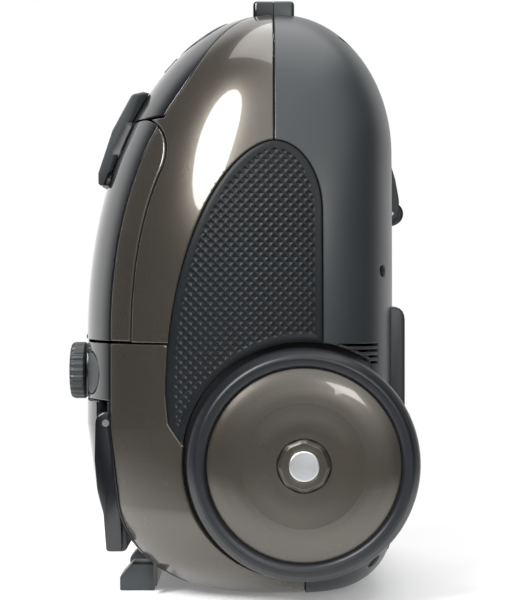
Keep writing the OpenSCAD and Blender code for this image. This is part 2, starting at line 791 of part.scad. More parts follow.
arm_y = wall_in - 0.6 - arm_t;
module carry_handle() color(gloss_black) {
    both() along_y(arm_y, arm_y + arm_t) difference() {
        polygon(concat(
            [for (a = [0:20:180]) [bail_x + 8 * cos(a), bail_z + 8 * sin(a)]],
            [[bail_x - 7.5, 96], [bail_x - 4, 74], [bail_x + 1, grip_z1 + 6], [bail_x + 1, grip_z0 + 1],
                [bail_x + 12, grip_z0 + 1], [bail_x + 11, 74], [bail_x + 9, 100]]));
        translate([bail_x, bail_z]) circle(r = bail_pin_r + run_gap);
    }
    box([bail_x + 4, -arm_y - 1, grip_z0 + 6], [bail_x + 10, arm_y + 1, grip_z1 - 7]);
}
module handle_grip() color(dark_grey) difference() {
    along_y(-arm_y + 0.2, arm_y - 0.2) hull() {
        for (z = [grip_z0 + 4, grip_z1 - 4]) for (x = [bail_x + 3, bail_x + 11])
            translate([x, z]) circle(r = 4);
    }
    box([bail_x + 4 - 0.05, -far, grip_z0 + 6 - 0.05], [bail_x + 10.05, far, grip_z1 - 7 + 0.05]);
}
module handle_pins() color(steel) both()
    cyl_y(bail_pin_r, hump_half - 2, trim_half - seam, bail_x, bail_z);

foot_y = 30;
module rear_feet() color(dark_grey) both() along_y(foot_y, foot_y + 26)
    polygon([[-112, 0], [-rear_floor_x - 3, 0], [-rear_floor_x - 2.6, 4], [-rear_floor_x - 2.6, 19],
        [-104, 19], [-112, 10]]);
module cord_outlet() color(gloss_black) difference() {
    union() {
        cyl_x(8, -rear_floor_x - 4.5, -rear_floor_x - 2.55, 0, outlet_z);
        cyl_x(6.5, -rear_floor_x - 3, -rear_floor_x + 10, 0, outlet_z);
    }
    cyl_x(cord_hole_r, -far, far, 0, outlet_z);
}
module exhaust_filter() color("linen")
    box([grille_x0 - 1, -50, 18 + wall], [grille_x0 + 36, 50, 34]);

// ---- wheels ----

module on_axle(side) translate([wheel_x, side * wheel_y, wheel_z]) rotate([-90 * side, 0, 0]) children();
rim_r = wheel_r - 13.5;
dish_r = 42.5;
hub_r = 9;
cap_r = 18;
module tyre_profile() polygon(concat(
    [[rim_r + 0.1, 1], [wheel_r - 8, 0]],
    [for (a = [-60:20:0]) [wheel_r - 9 + 9 * cos(a), 9 + 9 * sin(a)]],
    [for (a = [0:20:90]) [wheel_r - 11 + 11 * cos(a), tyre_w - 11 + 11 * sin(a)]],
    [[rim_r + 0.1, tyre_w - 1]]));
module tyre(side) color(rubber_grey) on_axle(side) rotate_extrude() tyre_profile();
module wheel_disc(side) color(brown) on_axle(side) difference() {
    rotate_extrude() polygon([[axle_r + run_gap, 0], [hub_r, 0], [hub_r, tyre_w - 7],
        [dish_r - 2, tyre_w - 6], [dish_r, tyre_w - 2], [rim_r - 2.5, tyre_w - 3.5], [rim_r - 2.5, 2],
        [rim_r, 2], [rim_r, tyre_w - 0.5], [dish_r + 8, tyre_w + 1], [dish_r - 2, tyre_w + 0.5],
        [dish_r - 6, tyre_w - 3.5], [cap_r + 0.4, tyre_w - 4.5], [hub_r + 2, tyre_w - 4.5],
        [hub_r, tyre_w - 5.5], [axle_r + run_gap, tyre_w - 5.5]]);
}
module hub_cap(side) color(brown) on_axle(side) rotate_extrude()
    polygon([[0, tyre_w - 1], [hub_r - 1, tyre_w - 1], [hub_r - 1, tyre_w - 4.3], [cap_r, tyre_w - 4.3],
        [cap_r, tyre_w - 1], [cap_r - 3, tyre_w + 1.4], [10.2, tyre_w + 1.4],
        [10, tyre_w + 2], [0, tyre_w + 2]]);
axle_end = tyre_w - 2.4;
module axle(side) color(steel) on_axle(side)
    translate([0, 0, reel_boss_y - wheel_y]) cylinder(r = axle_r, h = axle_end + wheel_y - reel_boss_y);
module axle_washers() color(steel) for (side = [-1, 1]) on_axle(side)
    translate([0, 0, tyre_w - 5.2]) ring_z(7.4, axle_r + 0.02, 1.4);
module tyre_left() tyre(-1);
module tyre_right() tyre(1);
module wheel_disc_left() wheel_disc(-1);
module wheel_disc_right() wheel_disc(1);
module hub_cap_left() hub_cap(-1);
module hub_cap_right() hub_cap(1);
module axle_left() axle(-1);
module axle_right() axle(1);

// ---- caster ----

roller_x = lower_h + 1.5;
roller_z = fork_z - trail;
roller_w = 14;
module caster_fork() color(dark_grey) difference() {
    union() {
        intersection() {
            cyl_x(fork_r, fork_floor_x + 0.5, far, 0, fork_z);
            union() {
                box([0, -far, 0], [lower_h - 1, far, far]);
                along_y(-roller_w / 2 - 4, roller_w / 2 + 4) polygon([[lower_h - 2, fork_z + fork_r],
                    [lower_h, fork_z + fork_r - 2], [lower_h + 4, fork_z + 10], [lower_h + 6.6, fork_z - 4],
                    [lower_h + 7, fork_z - 8], [lower_h + 5, roller_z - 3], [lower_h, roller_z - 6],
                    [lower_h - 2, roller_z - 8]]);
            }
        }
        cyl_x(stem_r, fork_floor_x - 21, fork_floor_x + 2, 0, fork_z);
    }
    intersection() {
        box([0, -roller_w / 2 - 0.5, roller_z - roller_r - 1],
            [far, roller_w / 2 + 0.5, roller_z + roller_r + 1]);
        box([fork_floor_x - 1, -far, 0], [far, far, far]);
    }
    cyl_y(1.5 + 0.02, -far, far, roller_x, roller_z);
}
module caster_roller() color(rubber_grey) translate([roller_x, roller_w / 2, roller_z]) rotate([90, 0, 0])
    rotate_extrude() polygon([[1.5 + run_gap, 0], [roller_r - 1.5, 0], [roller_r, 1.5],
        [roller_r, roller_w - 1.5], [roller_r - 1.5, roller_w], [1.5 + run_gap, roller_w]]);
module caster_axle() color(steel) cyl_y(1.5, -roller_w / 2 - 3.5, roller_w / 2 + 3.5, roller_x, roller_z);
module caster_clip() color(steel)
    translate([fork_floor_x - 21.4, 0, fork_z]) rotate([0, -90, 0]) cylinder(r = 6, h = 1.2);

module shell_screws() color(steel) both() for (s = screw_sites) {
    seat = under_at(s[0], s[1]) - head_deep;
    cyl_x(screw_r - 0.1, -24, seat + 1, s[0], s[1]);
    cyl_x(screw_r + 2, seat + 0.1, seat + 3, s[0], s[1]);
}

base_shell();
front_cover();
rear_cover();
lid();
lid_trim();
nose_trim();
side_panel_left();
side_panel_right();
control_panel();
suction_knob();
power_pedal();
rewind_pedal();
power_switch();
circuit_board();
rear_trim();
carry_handle();
handle_grip();
handle_pins();
rear_feet();
latch_lever();
latch_pin();
lid_hinge_pin();
lid_seal();
bag_window();
hose_inlet();
inlet_seal();
bag_chamber();
bag_holder();
dust_bag();
motor_filter();
motor_bulkhead();
motor_gasket();
fan_housing();
fan();
rotor();
stator();
motor_bracket();
motor_bearings();
carbon_brushes();
motor_mount();
reel_drum();
reel_bracket();
reel_spring();
cord_outlet();
exhaust_filter();
tyre_left();
tyre_right();
wheel_disc_left();
wheel_disc_right();
hub_cap_left();
hub_cap_right();
axle_left();
axle_right();
axle_washers();
caster_fork();
caster_roller();
caster_axle();
caster_clip();
shell_screws();
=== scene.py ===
"""Looks of the canister cleaner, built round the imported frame: shells, trims, wheels, finishes, light."""

import json
import math

import bmesh
import bpy
import numpy as np
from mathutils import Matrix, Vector


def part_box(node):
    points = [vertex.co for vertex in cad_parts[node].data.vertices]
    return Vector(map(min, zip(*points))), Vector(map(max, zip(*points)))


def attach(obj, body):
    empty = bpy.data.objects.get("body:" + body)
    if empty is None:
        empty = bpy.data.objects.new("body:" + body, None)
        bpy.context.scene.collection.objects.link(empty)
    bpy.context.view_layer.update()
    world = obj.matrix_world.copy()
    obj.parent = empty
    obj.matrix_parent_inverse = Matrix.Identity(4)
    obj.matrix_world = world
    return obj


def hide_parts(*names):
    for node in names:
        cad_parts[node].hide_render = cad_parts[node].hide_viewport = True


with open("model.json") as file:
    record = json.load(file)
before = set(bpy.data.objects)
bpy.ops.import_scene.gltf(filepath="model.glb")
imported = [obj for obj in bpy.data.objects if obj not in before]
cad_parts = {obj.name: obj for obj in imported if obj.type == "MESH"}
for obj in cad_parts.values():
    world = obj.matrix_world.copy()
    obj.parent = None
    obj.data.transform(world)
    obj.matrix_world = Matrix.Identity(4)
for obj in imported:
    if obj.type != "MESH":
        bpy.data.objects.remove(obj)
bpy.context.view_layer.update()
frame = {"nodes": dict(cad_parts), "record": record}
MM = 0.001


# ---- sizes in millimetres, read from the frame ----


def box_mm(node):
    """Lowest and highest corner of a CAD node, in millimetres."""
    lo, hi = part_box(node)
    return np.array(lo) / MM, np.array(hi) / MM


PAN_RISE = 7.0  # parking plate over the underside
BOSS_RISE = 8.0  # nose boss over the tip
UPPER = -box_mm("control_panel")[0][0]
HALF = box_mm("side_panel_right")[1][1]
LOWER = box_mm("base_shell")[1][0] - PAN_RISE
TIP = box_mm("base_shell")[1][2] - BOSS_RISE
COVER_Z = box_mm("rear_cover")[1][2] + 0.7
END_R = 66.0  # rounding of the rear end
LOW_R = 45.0  # rounding of the rear end at the underside
CHIN = 108.0  # length of the underside's curve up to the tip
REAR_DROP = 17.0  # how far the lid side falls back at the rear face
DROP_Z = 120.0  # height where that fall starts
UPPER_POWER = 2.1
LOWER_POWER = 3.2
TAPER_POWER = 2.1
WIDTH_POWER = 2.6

WHEEL_X = float(box_mm("axle_left")[0][0] + box_mm("axle_left")[1][0]) / 2
WHEEL_Z = float(box_mm("axle_left")[0][2] + box_mm("axle_left")[1][2]) / 2
WHEEL_Y = float(box_mm("tyre_right")[0][1])
WHEEL_W = float(box_mm("tyre_right")[1][1]) - WHEEL_Y
WHEEL_R = float(box_mm("tyre_right")[1][2]) - WHEEL_Z
ARCH_R = WHEEL_R + 4.0
ARCH_Y = WHEEL_Y - 4.0
TRIM_HALF = float(box_mm("lid_trim")[1][1])
LID_HALF = float(box_mm("lid")[1][1])
LID_LOW = COVER_Z + 1.2
LID_HIGH = float(box_mm("lid_seal")[1][2]) + 8.0
LID_CORNER = 40.0
KNOB_Z = 158.0
PEDAL_Y = 42.0
PEDAL_R = 15.0
FORK_Z = float(box_mm("caster_fork")[0][2] + box_mm("caster_fork")[1][2]) / 2
FORK_R = float(box_mm("caster_fork")[1][2]) - FORK_Z


# ---- the body's outer form ----


def sizes(z):
    """Reach of the form towards the lid side, the underside and the flanks at height z."""
    u = np.clip(z - COVER_Z, 0, None) / (TIP - COVER_Z)

    def rounding(r):
        return r - np.sqrt(np.clip(r * r - np.clip(r - z, 0, None) ** 2, 0, None))

    def taper(power):
        return np.sqrt(np.clip(1 - u**power, 0, None))

    chin = np.sqrt(np.clip(1 - (np.clip(z - TIP + CHIN, 0, None) / CHIN) ** 2, 0, None))
    drop = REAR_DROP * np.clip(DROP_Z - z, 0, None) / DROP_Z
    upper = taper(TAPER_POWER) * (UPPER - drop - rounding(END_R))
    lower = chin * (LOWER - rounding(LOW_R))
    half = taper(WIDTH_POWER) * (HALF - rounding(END_R))
    return upper, lower, half


def place(a, v, depth=0.0):
    """Points at angle a (0 at the underside, 180 at the lid side) and height v, at a depth under the surface.
    A height from -1 to 0 lies on the flat rear face, as a share of its radius."""
    z, share = np.clip(v, 0, TIP), 1 + np.clip(v, -1, 0)
    c, s = np.cos(np.radians(a)), np.sin(np.radians(a))
    power = np.where(c > 0, LOWER_POWER, UPPER_POWER)

    def reach(height):
        upper, lower, half = sizes(height)
        return np.where(c > 0, lower, upper), half

    step = 0.02
    mid = np.clip(z, step, TIP - 2 * step)
    (x0, y0), (x1, y1), (xm, ym) = reach(mid - step), reach(mid + step), reach(mid)
    normal = np.stack([
        np.sign(c) * np.abs(c) ** (2 - 2 / power) / xm,
        np.sign(s) * np.abs(s) ** (2 - 2 / power) / ym,
        -(c * c * (x1 - x0) / xm + s * s * (y1 - y0) / ym) / (2 * step)], 1)
    normal[v < 0] = (0, 0, -1)
    normal /= np.linalg.norm(normal, axis=1)[:, None]
    xs, ys = reach(z)
    points = np.stack([
        np.sign(c) * xs * np.abs(c) ** (2 / power) * share,
        np.sign(s) * ys * np.abs(s) ** (2 / power) * share, z], 1)
    return points - normal * np.reshape(depth, (-1, 1))


def along(values, path, step):
    """Values picked so that the path that they trace has even steps."""
    length = np.concatenate([[0], np.cumsum(np.linalg.norm(np.diff(path, axis=0), axis=1))])
    count = max(2, int(length[-1] / step) + 1)
    return np.interp(np.linspace(0, length[-1], count), length, values)


def columns(a0, a1, step):
    """Angles with even steps round the widest part of the form."""
    fine = np.linspace(a0, a1, 4000)
    return along(fine, place(fine, np.full_like(fine, DROP_Z)), step)


def rows(v0, v1, step):
    """Heights with even steps up the form; below 0 they run across the flat rear face."""
    turn = np.linspace(0, math.pi / 2, 600)
    side = np.concatenate([END_R * (1 - np.cos(turn)), COVER_Z + (TIP - COVER_Z) * np.sin(turn)])
    side = side[(side > max(v0, 0)) & (side < v1)]
    side = np.concatenate([[max(v0, 0)], side, [v1]])
    upper, _, half = sizes(side)
    picked = along(side, np.stack([(upper + half) / 2, side], 1), step)
    if v0 >= 0:
        return picked
    return np.concatenate([np.linspace(v0, 0, 22)[:-1], picked])


class Patch:
    """A patch of the outer form as triangles, cut along the lines where a distance passes a level."""

    def __init__(self, a0, a1, v0, v1, step):
        cols, lines = columns(a0, a1, step), rows(v0, v1, step)
        n = len(cols)
        self.a = np.tile(cols, len(lines))
        self.v = np.repeat(lines, n)
        first = (np.arange(len(lines) - 1)[:, None] * n + np.arange(n - 1)[None, :]).ravel()
        self.tris = np.concatenate([
            np.stack([first, first + 1, first + n], 1),
            np.stack([first + 1, first + n + 1, first + n], 1)])

    def points(self, depth=0.0):
        """Places of the points, at a depth under the surface."""
        return place(self.a, self.v, depth)

    def sides(self, field, level, snap=0.04):
        """Distances from the level, and on which side of it each point is."""
        d = field(self.points()) - level
        return d, np.where(np.abs(d) < snap, 0, np.sign(d)).astype(int)

    def split(self, field, level):
        """Cuts the triangles along the line where the field has this level."""
        d, side = self.sides(field, level)
        s = side[self.tris]
        mixed = (s.max(1) > 0) & (s.min(1) < 0)
        kept, todo, s = self.tris[~mixed], self.tris[mixed], s[mixed]
        with_zero = (s == 0).any(1)
        lone = np.where(s.sum(1) > 0, -1, 1)
        pick = np.where(with_zero, (s == 0).argmax(1), (s == lone[:, None]).argmax(1))
        roll = (pick[:, None] + np.arange(3)[None, :]) % 3
        todo = np.take_along_axis(todo, roll, 1)
        p, q, r = todo.T
        cuts = np.concatenate([
            np.stack([q, r], 1)[with_zero], np.stack([p, q], 1)[~with_zero], np.stack([p, r], 1)[~with_zero]])
        pairs, which = np.unique(np.sort(cuts, 1), axis=0, return_inverse=True)
        which = which.ravel() + len(self.a)
        i, j = pairs.T
        t = d[i] / (d[i] - d[j])
        self.a = np.concatenate([self.a, self.a[i] + t * (self.a[j] - self.a[i])])
        self.v = np.concatenate([self.v, self.v[i] + t * (self.v[j] - self.v[i])])
        zeros, whole = int(with_zero.sum()), int((~with_zero).sum())
        m0, m1, m2 = which[:zeros], which[zeros:zeros + whole], which[zeros + whole:]
        pz, qz, rz = todo[with_zero].T
        pw, qw, rw = todo[~with_zero].T
        self.tris = np.concatenate([
            kept, np.stack([pz, qz, m0], 1), np.stack([pz, m0, rz], 1), np.stack([pw, m1, m2], 1),
            np.stack([m1, qw, rw], 1), np.stack([m1, rw, m2], 1)])

    def keep(self, field):
        """Drops the triangles that are outside the field."""
        d, side = self.sides(field, 0.0)
        middle = np.where(side == 0, 0, d)[self.tris].mean(1)
        self.tris = self.tris[middle < 0]
        used, back = np.unique(self.tris, return_inverse=True)
        self.tris = back.reshape(-1, 3)
        self.a, self.v = self.a[used], self.v[used]


# ---- distances in millimetres, negative inside; p holds points on the outer form ----


def polygon_distance(u, v, corners):
    """Signed distance from the points (u, v) to a closed outline."""
    corners = np.asarray(corners, float)
    best = np.full(len(u), 1e9)
    inside = np.zeros(len(u), bool)
    for (x0, y0), (x1, y1) in zip(corners, np.roll(corners, -1, 0)):
        dx, dy = x1 - x0, y1 - y0
        t = np.clip(((u - x0) * dx + (v - y0) * dy) / max(dx * dx + dy * dy, 1e-12), 0, 1)
        best = np.minimum(best, np.hypot(u - x0 - t * dx, v - y0 - t * dy))
        if y0 != y1:
            crossed = (v >= min(y0, y1)) & (v < max(y0, y1))
            inside ^= crossed & (u < x0 + (v - y0) * dx / dy)
    return np.where(inside, -best, best)


def arc(cx, cy, r, a0, a1, n):
    """Points on a circle from one angle in degrees to another."""
    return [(cx + r * math.cos(math.radians(a)), cy + r * math.sin(math.radians(a)))
            for a in np.linspace(a0, a1, n)]


def either(*fields):
    """Inside any of the fields."""
    return lambda p: np.minimum.reduce([f(p) for f in fields])


def both(*fields):
    """Inside all of the fields."""
    return lambda p: np.maximum.reduce([f(p) for f in fields])


def without(field, *holes):
    """Inside the field and outside every hole."""
    return lambda p: np.maximum.reduce([field(p)] + [-h(p) for h in holes])


def grown(field, by):
    """The field with its edge moved outwards."""
    return lambda p: field(p) - by


def box_field(lo, hi):
    """A box between two corners."""
    lo, hi = np.array(lo, float), np.array(hi, float)
    return lambda p: np.max(np.concatenate([lo - p, p - hi], 1), axis=1)


def disc_x(y, z, r):
    """A round hole through the form along X."""
    return lambda p: np.hypot(p[:, 1] - y, p[:, 2] - z) - r


GAP = 0.3  # half the seam between two shells
STEP_X, STEP_Z = 22.0, 50.0  # the parting plane steps towards the underside below this height
LID_SIDE_X = -30.0
STRIP_SHARE = 0.77  # half width of the strip over the half width of the nose
STRIP_LEAST = 24.0
STRIP_BLEND = 20  # power of the smooth minimum
ALL_X = -400.0  # a cut through the lid side runs from here, past the form
NEAR_X = -60.0  # to here, inside it


def upper_zone(p):
    """The side of the parting plane that belongs to the covers."""
    return np.minimum(p[:, 0] + GAP, np.maximum(p[:, 0] - STEP_X + GAP, p[:, 2] - STEP_Z + GAP))


def lower_zone(p):
    """The side of the parting plane that belongs to the base shell."""
    return np.maximum(GAP - p[:, 0], -np.maximum(p[:, 0] - STEP_X - GAP, p[:, 2] - STEP_Z - GAP))


def arch(p):
    """The round wheel arches of both sides."""
    return np.maximum(ARCH_Y - np.abs(p[:, 1]), np.hypot(p[:, 0] - WHEEL_X, p[:, 2] - WHEEL_Z) - ARCH_R)


LID_OUTLINE = (
    [(LID_HALF, LID_LOW)]
    + arc(LID_HALF - LID_CORNER, LID_HIGH - LID_CORNER, LID_CORNER, 0, 90, 24)
    + arc(LID_CORNER - LID_HALF, LID_HIGH - LID_CORNER, LID_CORNER, 90, 180, 24)
    + [(-LID_HALF, LID_LOW)])


def lid_area(p):
    """The outline of the lid, on the lid side only."""
    return np.maximum(polygon_distance(p[:, 1], p[:, 2], LID_OUTLINE), p[:, 0] - LID_SIDE_X)


def strip_edge(p):
    """Distance past the edge of the dark centre strip, which narrows with the nose."""
    nose = np.maximum(STRIP_SHARE * sizes(p[:, 2])[2], 1)
    narrow = TRIM_HALF * (1 + (TRIM_HALF / nose) ** STRIP_BLEND) ** (-1 / STRIP_BLEND)
    return np.abs(p[:, 1]) - np.maximum(STRIP_LEAST, narrow)


PANEL_APEX = COVER_Z + 142.0
PANEL_LOW = WHEEL_Z + 12.0
PANEL_LEFT = 76.0
PANEL_RIGHT = 34.0
PANEL_TOP_R = 50.0
PANEL_FALL = 178.0
PANEL_BOW = 1.15  # bends the panel's long edge
PANEL_OUTLINE = (
    [(PANEL_RIGHT, PANEL_LOW)]
    + [(PANEL_RIGHT * math.cos(a) - 0.5, PANEL_APEX - PANEL_TOP_R * (1 - math.sin(a)))
       for a in np.linspace(0, math.pi / 2, 16)[:-1]]
    + [(-PANEL_LEFT * math.sin(a) ** PANEL_BOW, PANEL_APEX - PANEL_FALL * (1 - math.cos(a)))
       for a in np.linspace(0, math.pi / 2, 40)]
    + [(2 - PANEL_LEFT, PANEL_LOW + 14), (12 - PANEL_LEFT, PANEL_LOW)])


def panel_area(p):
    """The outline of the textured side panels."""
    return polygon_distance(p[:, 0], p[:, 2], PANEL_OUTLINE)


# ---- making meshes ----

SMOOTH_ANGLE = 50.0  # edges sharper than this, in degrees, stay sharp


def new_mesh(name, verts, faces, smooth_angle=SMOOTH_ANGLE):
    """An object from points in millimetres and faces: an array of rows as long as each other, or a list."""
    mesh = bpy.data.meshes.new(name)
    verts = np.asarray(verts, float) * MM
    if isinstance(faces, np.ndarray):
        count, corners = faces.shape
        mesh.vertices.add(len(verts))
        mesh.vertices.foreach_set("co", verts.astype(np.float32).ravel())
        mesh.loops.add(count * corners)
        mesh.loops.foreach_set("vertex_index", faces.astype(np.int32).ravel())
        mesh.polygons.add(count)
        mesh.polygons.foreach_set("loop_start", np.arange(0, count * corners, corners, dtype=np.int32))
        mesh.update(calc_edges=True)
    else:
        mesh.from_pydata(verts.tolist(), [], faces)
    mesh.validate()
    mesh.shade_smooth()
    mesh.set_sharp_from_angle(angle=math.radians(smooth_angle))
    obj = bpy.data.objects.new(name, mesh)
    bpy.context.scene.collection.objects.link(obj)
    return obj


def true_normals(obj, normals, even, count):
    """Shades the even part of the outer face with the form's own normals, so that no facet shows."""
    mesh = obj.data
    corner = np.empty(len(mesh.loops) * 3, np.float32)
    mesh.corner_normals.foreach_get("vector", corner)
    corner = corner.reshape(-1, 3)
    vertex = np.empty(len(mesh.loops), np.int32)
    mesh.loops.foreach_get("vertex_index", vertex)
    outer = np.arange(len(vertex)) < 3 * count
    outer[outer] = even[vertex[outer]]
    corner[outer] = normals[vertex[outer]]
    mesh.normals_split_custom_set(corner.tolist())


FILLET_STEPS = (1.0, 0.45, 0.12, 0.0)


def skin(name, patch_area, region, thickness=3.0, fillet=0.8, step=1.6, relief=None, lines=()):
    """One shell piece: the region of the outer form, with rounded edges, a relief and a real wall."""
    patch = Patch(*patch_area, step)
    for share in FILLET_STEPS:
        patch.split(region, -share * fillet)
    for field, levels in lines:
        for level in levels:
            patch.split(field, level)
    patch.keep(region)
    base = patch.points()
    near = np.clip(fillet + region(base), 0, fillet)
    depth = fillet - np.sqrt(np.clip(fillet**2 - near**2, 0, None))
    if relief is not None:
        depth = depth + relief(base)
    outer = patch.points(depth)
    inner = patch.points(depth + thickness)
    n, tris = len(outer), patch.tris
    edges = np.concatenate([tris[:, [0, 1]], tris[:, [1, 2]], tris[:, [2, 0]]])
    _, index, counts = np.unique(np.sort(edges, 1), axis=0, return_index=True, return_counts=True)
    i, j = edges[index[counts == 1]].T
    rim = np.concatenate([np.stack([j, i, i + n], 1), np.stack([j, i + n, j + n], 1)])
    obj = new_mesh(name, np.concatenate([outer, inner]), np.concatenate([tris, tris[:, ::-1] + n, rim]))
    true_normals(obj, base - patch.points(np.ones(n)), depth < 1e-6, len(tris))
    return obj


def rounded_outline(corners, n=6):
    """A closed outline whose corners (x, y, radius) are arcs."""
    out = []
    count = len(corners)
    for k, (x, y, r) in enumerate(corners):
        p = Vector((x, y))
        if r <= 0:
            out.append((x, y))
            continue
        before = Vector(corners[k - 1][:2]) - p
        after = Vector(corners[(k + 1) % count][:2]) - p
        half = before.angle(after) / 2
        reach = min(r / math.tan(half), 0.49 * before.length, 0.49 * after.length)
        start, end = p + before.normalized() * reach, p + after.normalized() * reach
        for t in np.linspace(0, 1, n):
            out.append(tuple((1 - t) ** 2 * start + 2 * t * (1 - t) * p + t * t * end))
    return out


def bevel(obj, width, segments=3, angle=35):
    """Adds rounded edges, to be applied later."""
    m = obj.modifiers.new("edges", "BEVEL")
    m.width = width * MM
    m.segments = segments
    m.limit_method = "ANGLE"
    m.angle_limit = math.radians(angle)
    m.harden_normals = False
    m.use_clamp_overlap = True
    return obj


def applied(obj, smooth_angle=SMOOTH_ANGLE):
    """The object with its modifiers made into its mesh."""
    graph = bpy.context.evaluated_depsgraph_get()
    mesh = bpy.data.meshes.new_from_object(obj.evaluated_get(graph))
    obj.modifiers.clear()
    obj.data = mesh
    mesh.shade_smooth()
    mesh.set_sharp_from_angle(angle=math.radians(smooth_angle))
    return obj


def prism(name, outline, lo, hi, axis="y", edge=0.0):
    """An outline pushed along an axis: X-Z outlines along y, Y-Z outlines along x, X-Y outlines along z."""
    def lift(p, h):
        return {"x": (h, p[0], p[1]), "y": (p[0], h, p[1]), "z": (p[0], p[1], h)}[axis]
    n = len(outline)
    verts = [lift(p, lo) for p in outline] + [lift(p, hi) for p in outline]
    faces = [list(range(n)), list(range(2 * n - 1, n - 1, -1))]
    faces += [[(k + 1) % n, k, k + n, (k + 1) % n + n] for k in range(n)]
    obj = new_mesh(name, verts, faces)
    recalculated(obj)
    if edge > 0:
        applied(bevel(obj, edge))
    return obj


def recalculated(obj):
    """The object with its faces turned outwards."""
    bm = bmesh.new()
    bm.from_mesh(obj.data)
    bmesh.ops.recalc_face_normals(bm, faces=bm.faces)
    bm.to_mesh(obj.data)
    bm.free()
    obj.data.shade_smooth()
    obj.data.set_sharp_from_angle(angle=math.radians(SMOOTH_ANGLE))
    return obj


def subtract(obj, *cutters):
    """Cuts closed meshes out of an object."""
    for cutter in cutters:
        m = obj.modifiers.new("cut", "BOOLEAN")
        m.operation = "DIFFERENCE"
        m.solver = "EXACT"
        m.object = cutter
        applied(obj)
        bpy.data.objects.remove(cutter)
    return obj


def block(name, lo, hi, edge=0.0):
    """A bevelled bar between two corners."""
    outline = [(lo[0], lo[2]), (hi[0], lo[2]), (hi[0], hi[2]), (lo[0], hi[2])]
    return prism(name, outline, lo[1], hi[1], "y", edge)


def lathe(name, profile, centre, axis, segments=160, radius=None, smooth_angle=40.0):
    """A closed profile (r, h) turned about an axis through centre; radius(r, h, turn) may alter it."""
    n = len(profile)
    turns = np.linspace(0, 2 * math.pi, segments, endpoint=False)
    r = np.array([p[0] for p in profile])[None, :] + 0 * turns[:, None]
    h = np.array([p[1] for p in profile])[None, :] + 0 * turns[:, None]
    t = turns[:, None] + 0 * r
    if radius is not None:
        r = radius(r, h, t)
    d = Vector(axis).normalized()
    side = d.orthogonal().normalized()
    other = d.cross(side)
    pts = (np.array(centre, float)[None, None, :] + h[..., None] * np.array(d)
           + r[..., None] * (np.cos(t)[..., None] * np.array(side) + np.sin(t)[..., None] * np.array(other)))
    k = np.arange(n)
    faces = []
    for s in range(segments):
        a, b = s * n + k, ((s + 1) % segments) * n + k
        faces.append(np.stack([a, np.roll(a, -1), np.roll(b, -1), b], 1))
    obj = new_mesh(name, pts.reshape(-1, 3), np.concatenate(faces), smooth_angle)
    bm = bmesh.new()
    bm.from_mesh(obj.data)
    bmesh.ops.remove_doubles(bm, verts=bm.verts, dist=0.01 * MM)
    bmesh.ops.recalc_face_normals(bm, faces=bm.faces)
    bm.to_mesh(obj.data)
    bm.free()
    obj.data.shade_smooth()
    obj.data.set_sharp_from_angle(angle=math.radians(smooth_angle))
    return obj


def joined(name, parts):
    """Several meshes as one object."""
    first = parts[0]
    with bpy.context.temp_override(active_object=first, selected_editable_objects=parts, object=first):
        bpy.ops.object.join()
    first.name = name
    return first


# ---- finishes ----


def finish(name, colour, roughness, metallic=0.0, coat=0.0, coat_roughness=0.04, tint=0.12, tint_scale=9.0,
           rough_spread=0.05, grain=0.04, grain_scale=900.0, specular=0.5):
    """A moulded or metal finish: colour and gloss vary a little and a fine grain breaks the surface."""
    material = bpy.data.materials.new(name)
    material.use_nodes = True
    tree = material.node_tree
    shader = tree.nodes["Principled BSDF"]
    shader.inputs["Metallic"].default_value = metallic
    shader.inputs["Coat Weight"].default_value = coat
    shader.inputs["Coat Roughness"].default_value = coat_roughness
    shader.inputs["Specular IOR Level"].default_value = specular

    def node(kind, **values):
        made = tree.nodes.new(kind)
        for key, value in values.items():
            made.inputs[key].default_value = value
        return made

    where = tree.nodes.new("ShaderNodeTexCoord").outputs["Object"]
    cloud = node("ShaderNodeTexNoise", Scale=tint_scale, Detail=4.0, Roughness=0.6)
    tree.links.new(where, cloud.inputs["Vector"])
    ramp = tree.nodes.new("ShaderNodeValToRGB")
    dark, light = ramp.color_ramp.elements
    dark.position = 0.3
    dark.color = (*[c * (1 - tint) for c in colour], 1)
    light.position = 0.7
    light.color = (*[min(1, c * (1 + tint)) for c in colour], 1)
    tree.links.new(cloud.outputs["Fac"], ramp.inputs["Fac"])
    tree.links.new(ramp.outputs["Color"], shader.inputs["Base Color"])
    smear = node("ShaderNodeTexNoise", Scale=tint_scale * 3, Detail=3.0)
    tree.links.new(where, smear.inputs["Vector"])
    spread = node("ShaderNodeMapRange")
    spread.inputs["To Min"].default_value = max(0.02, roughness - rough_spread)
    spread.inputs["To Max"].default_value = min(1, roughness + rough_spread)
    tree.links.new(smear.outputs["Fac"], spread.inputs["Value"])
    tree.links.new(spread.outputs["Result"], shader.inputs["Roughness"])
    fine = node("ShaderNodeTexNoise", Scale=grain_scale, Detail=2.0)
    tree.links.new(where, fine.inputs["Vector"])
    bump = node("ShaderNodeBump", Strength=grain, Distance=0.0004)
    tree.links.new(fine.outputs["Fac"], bump.inputs["Height"])
    tree.links.new(bump.outputs["Normal"], shader.inputs["Normal"])
    return material


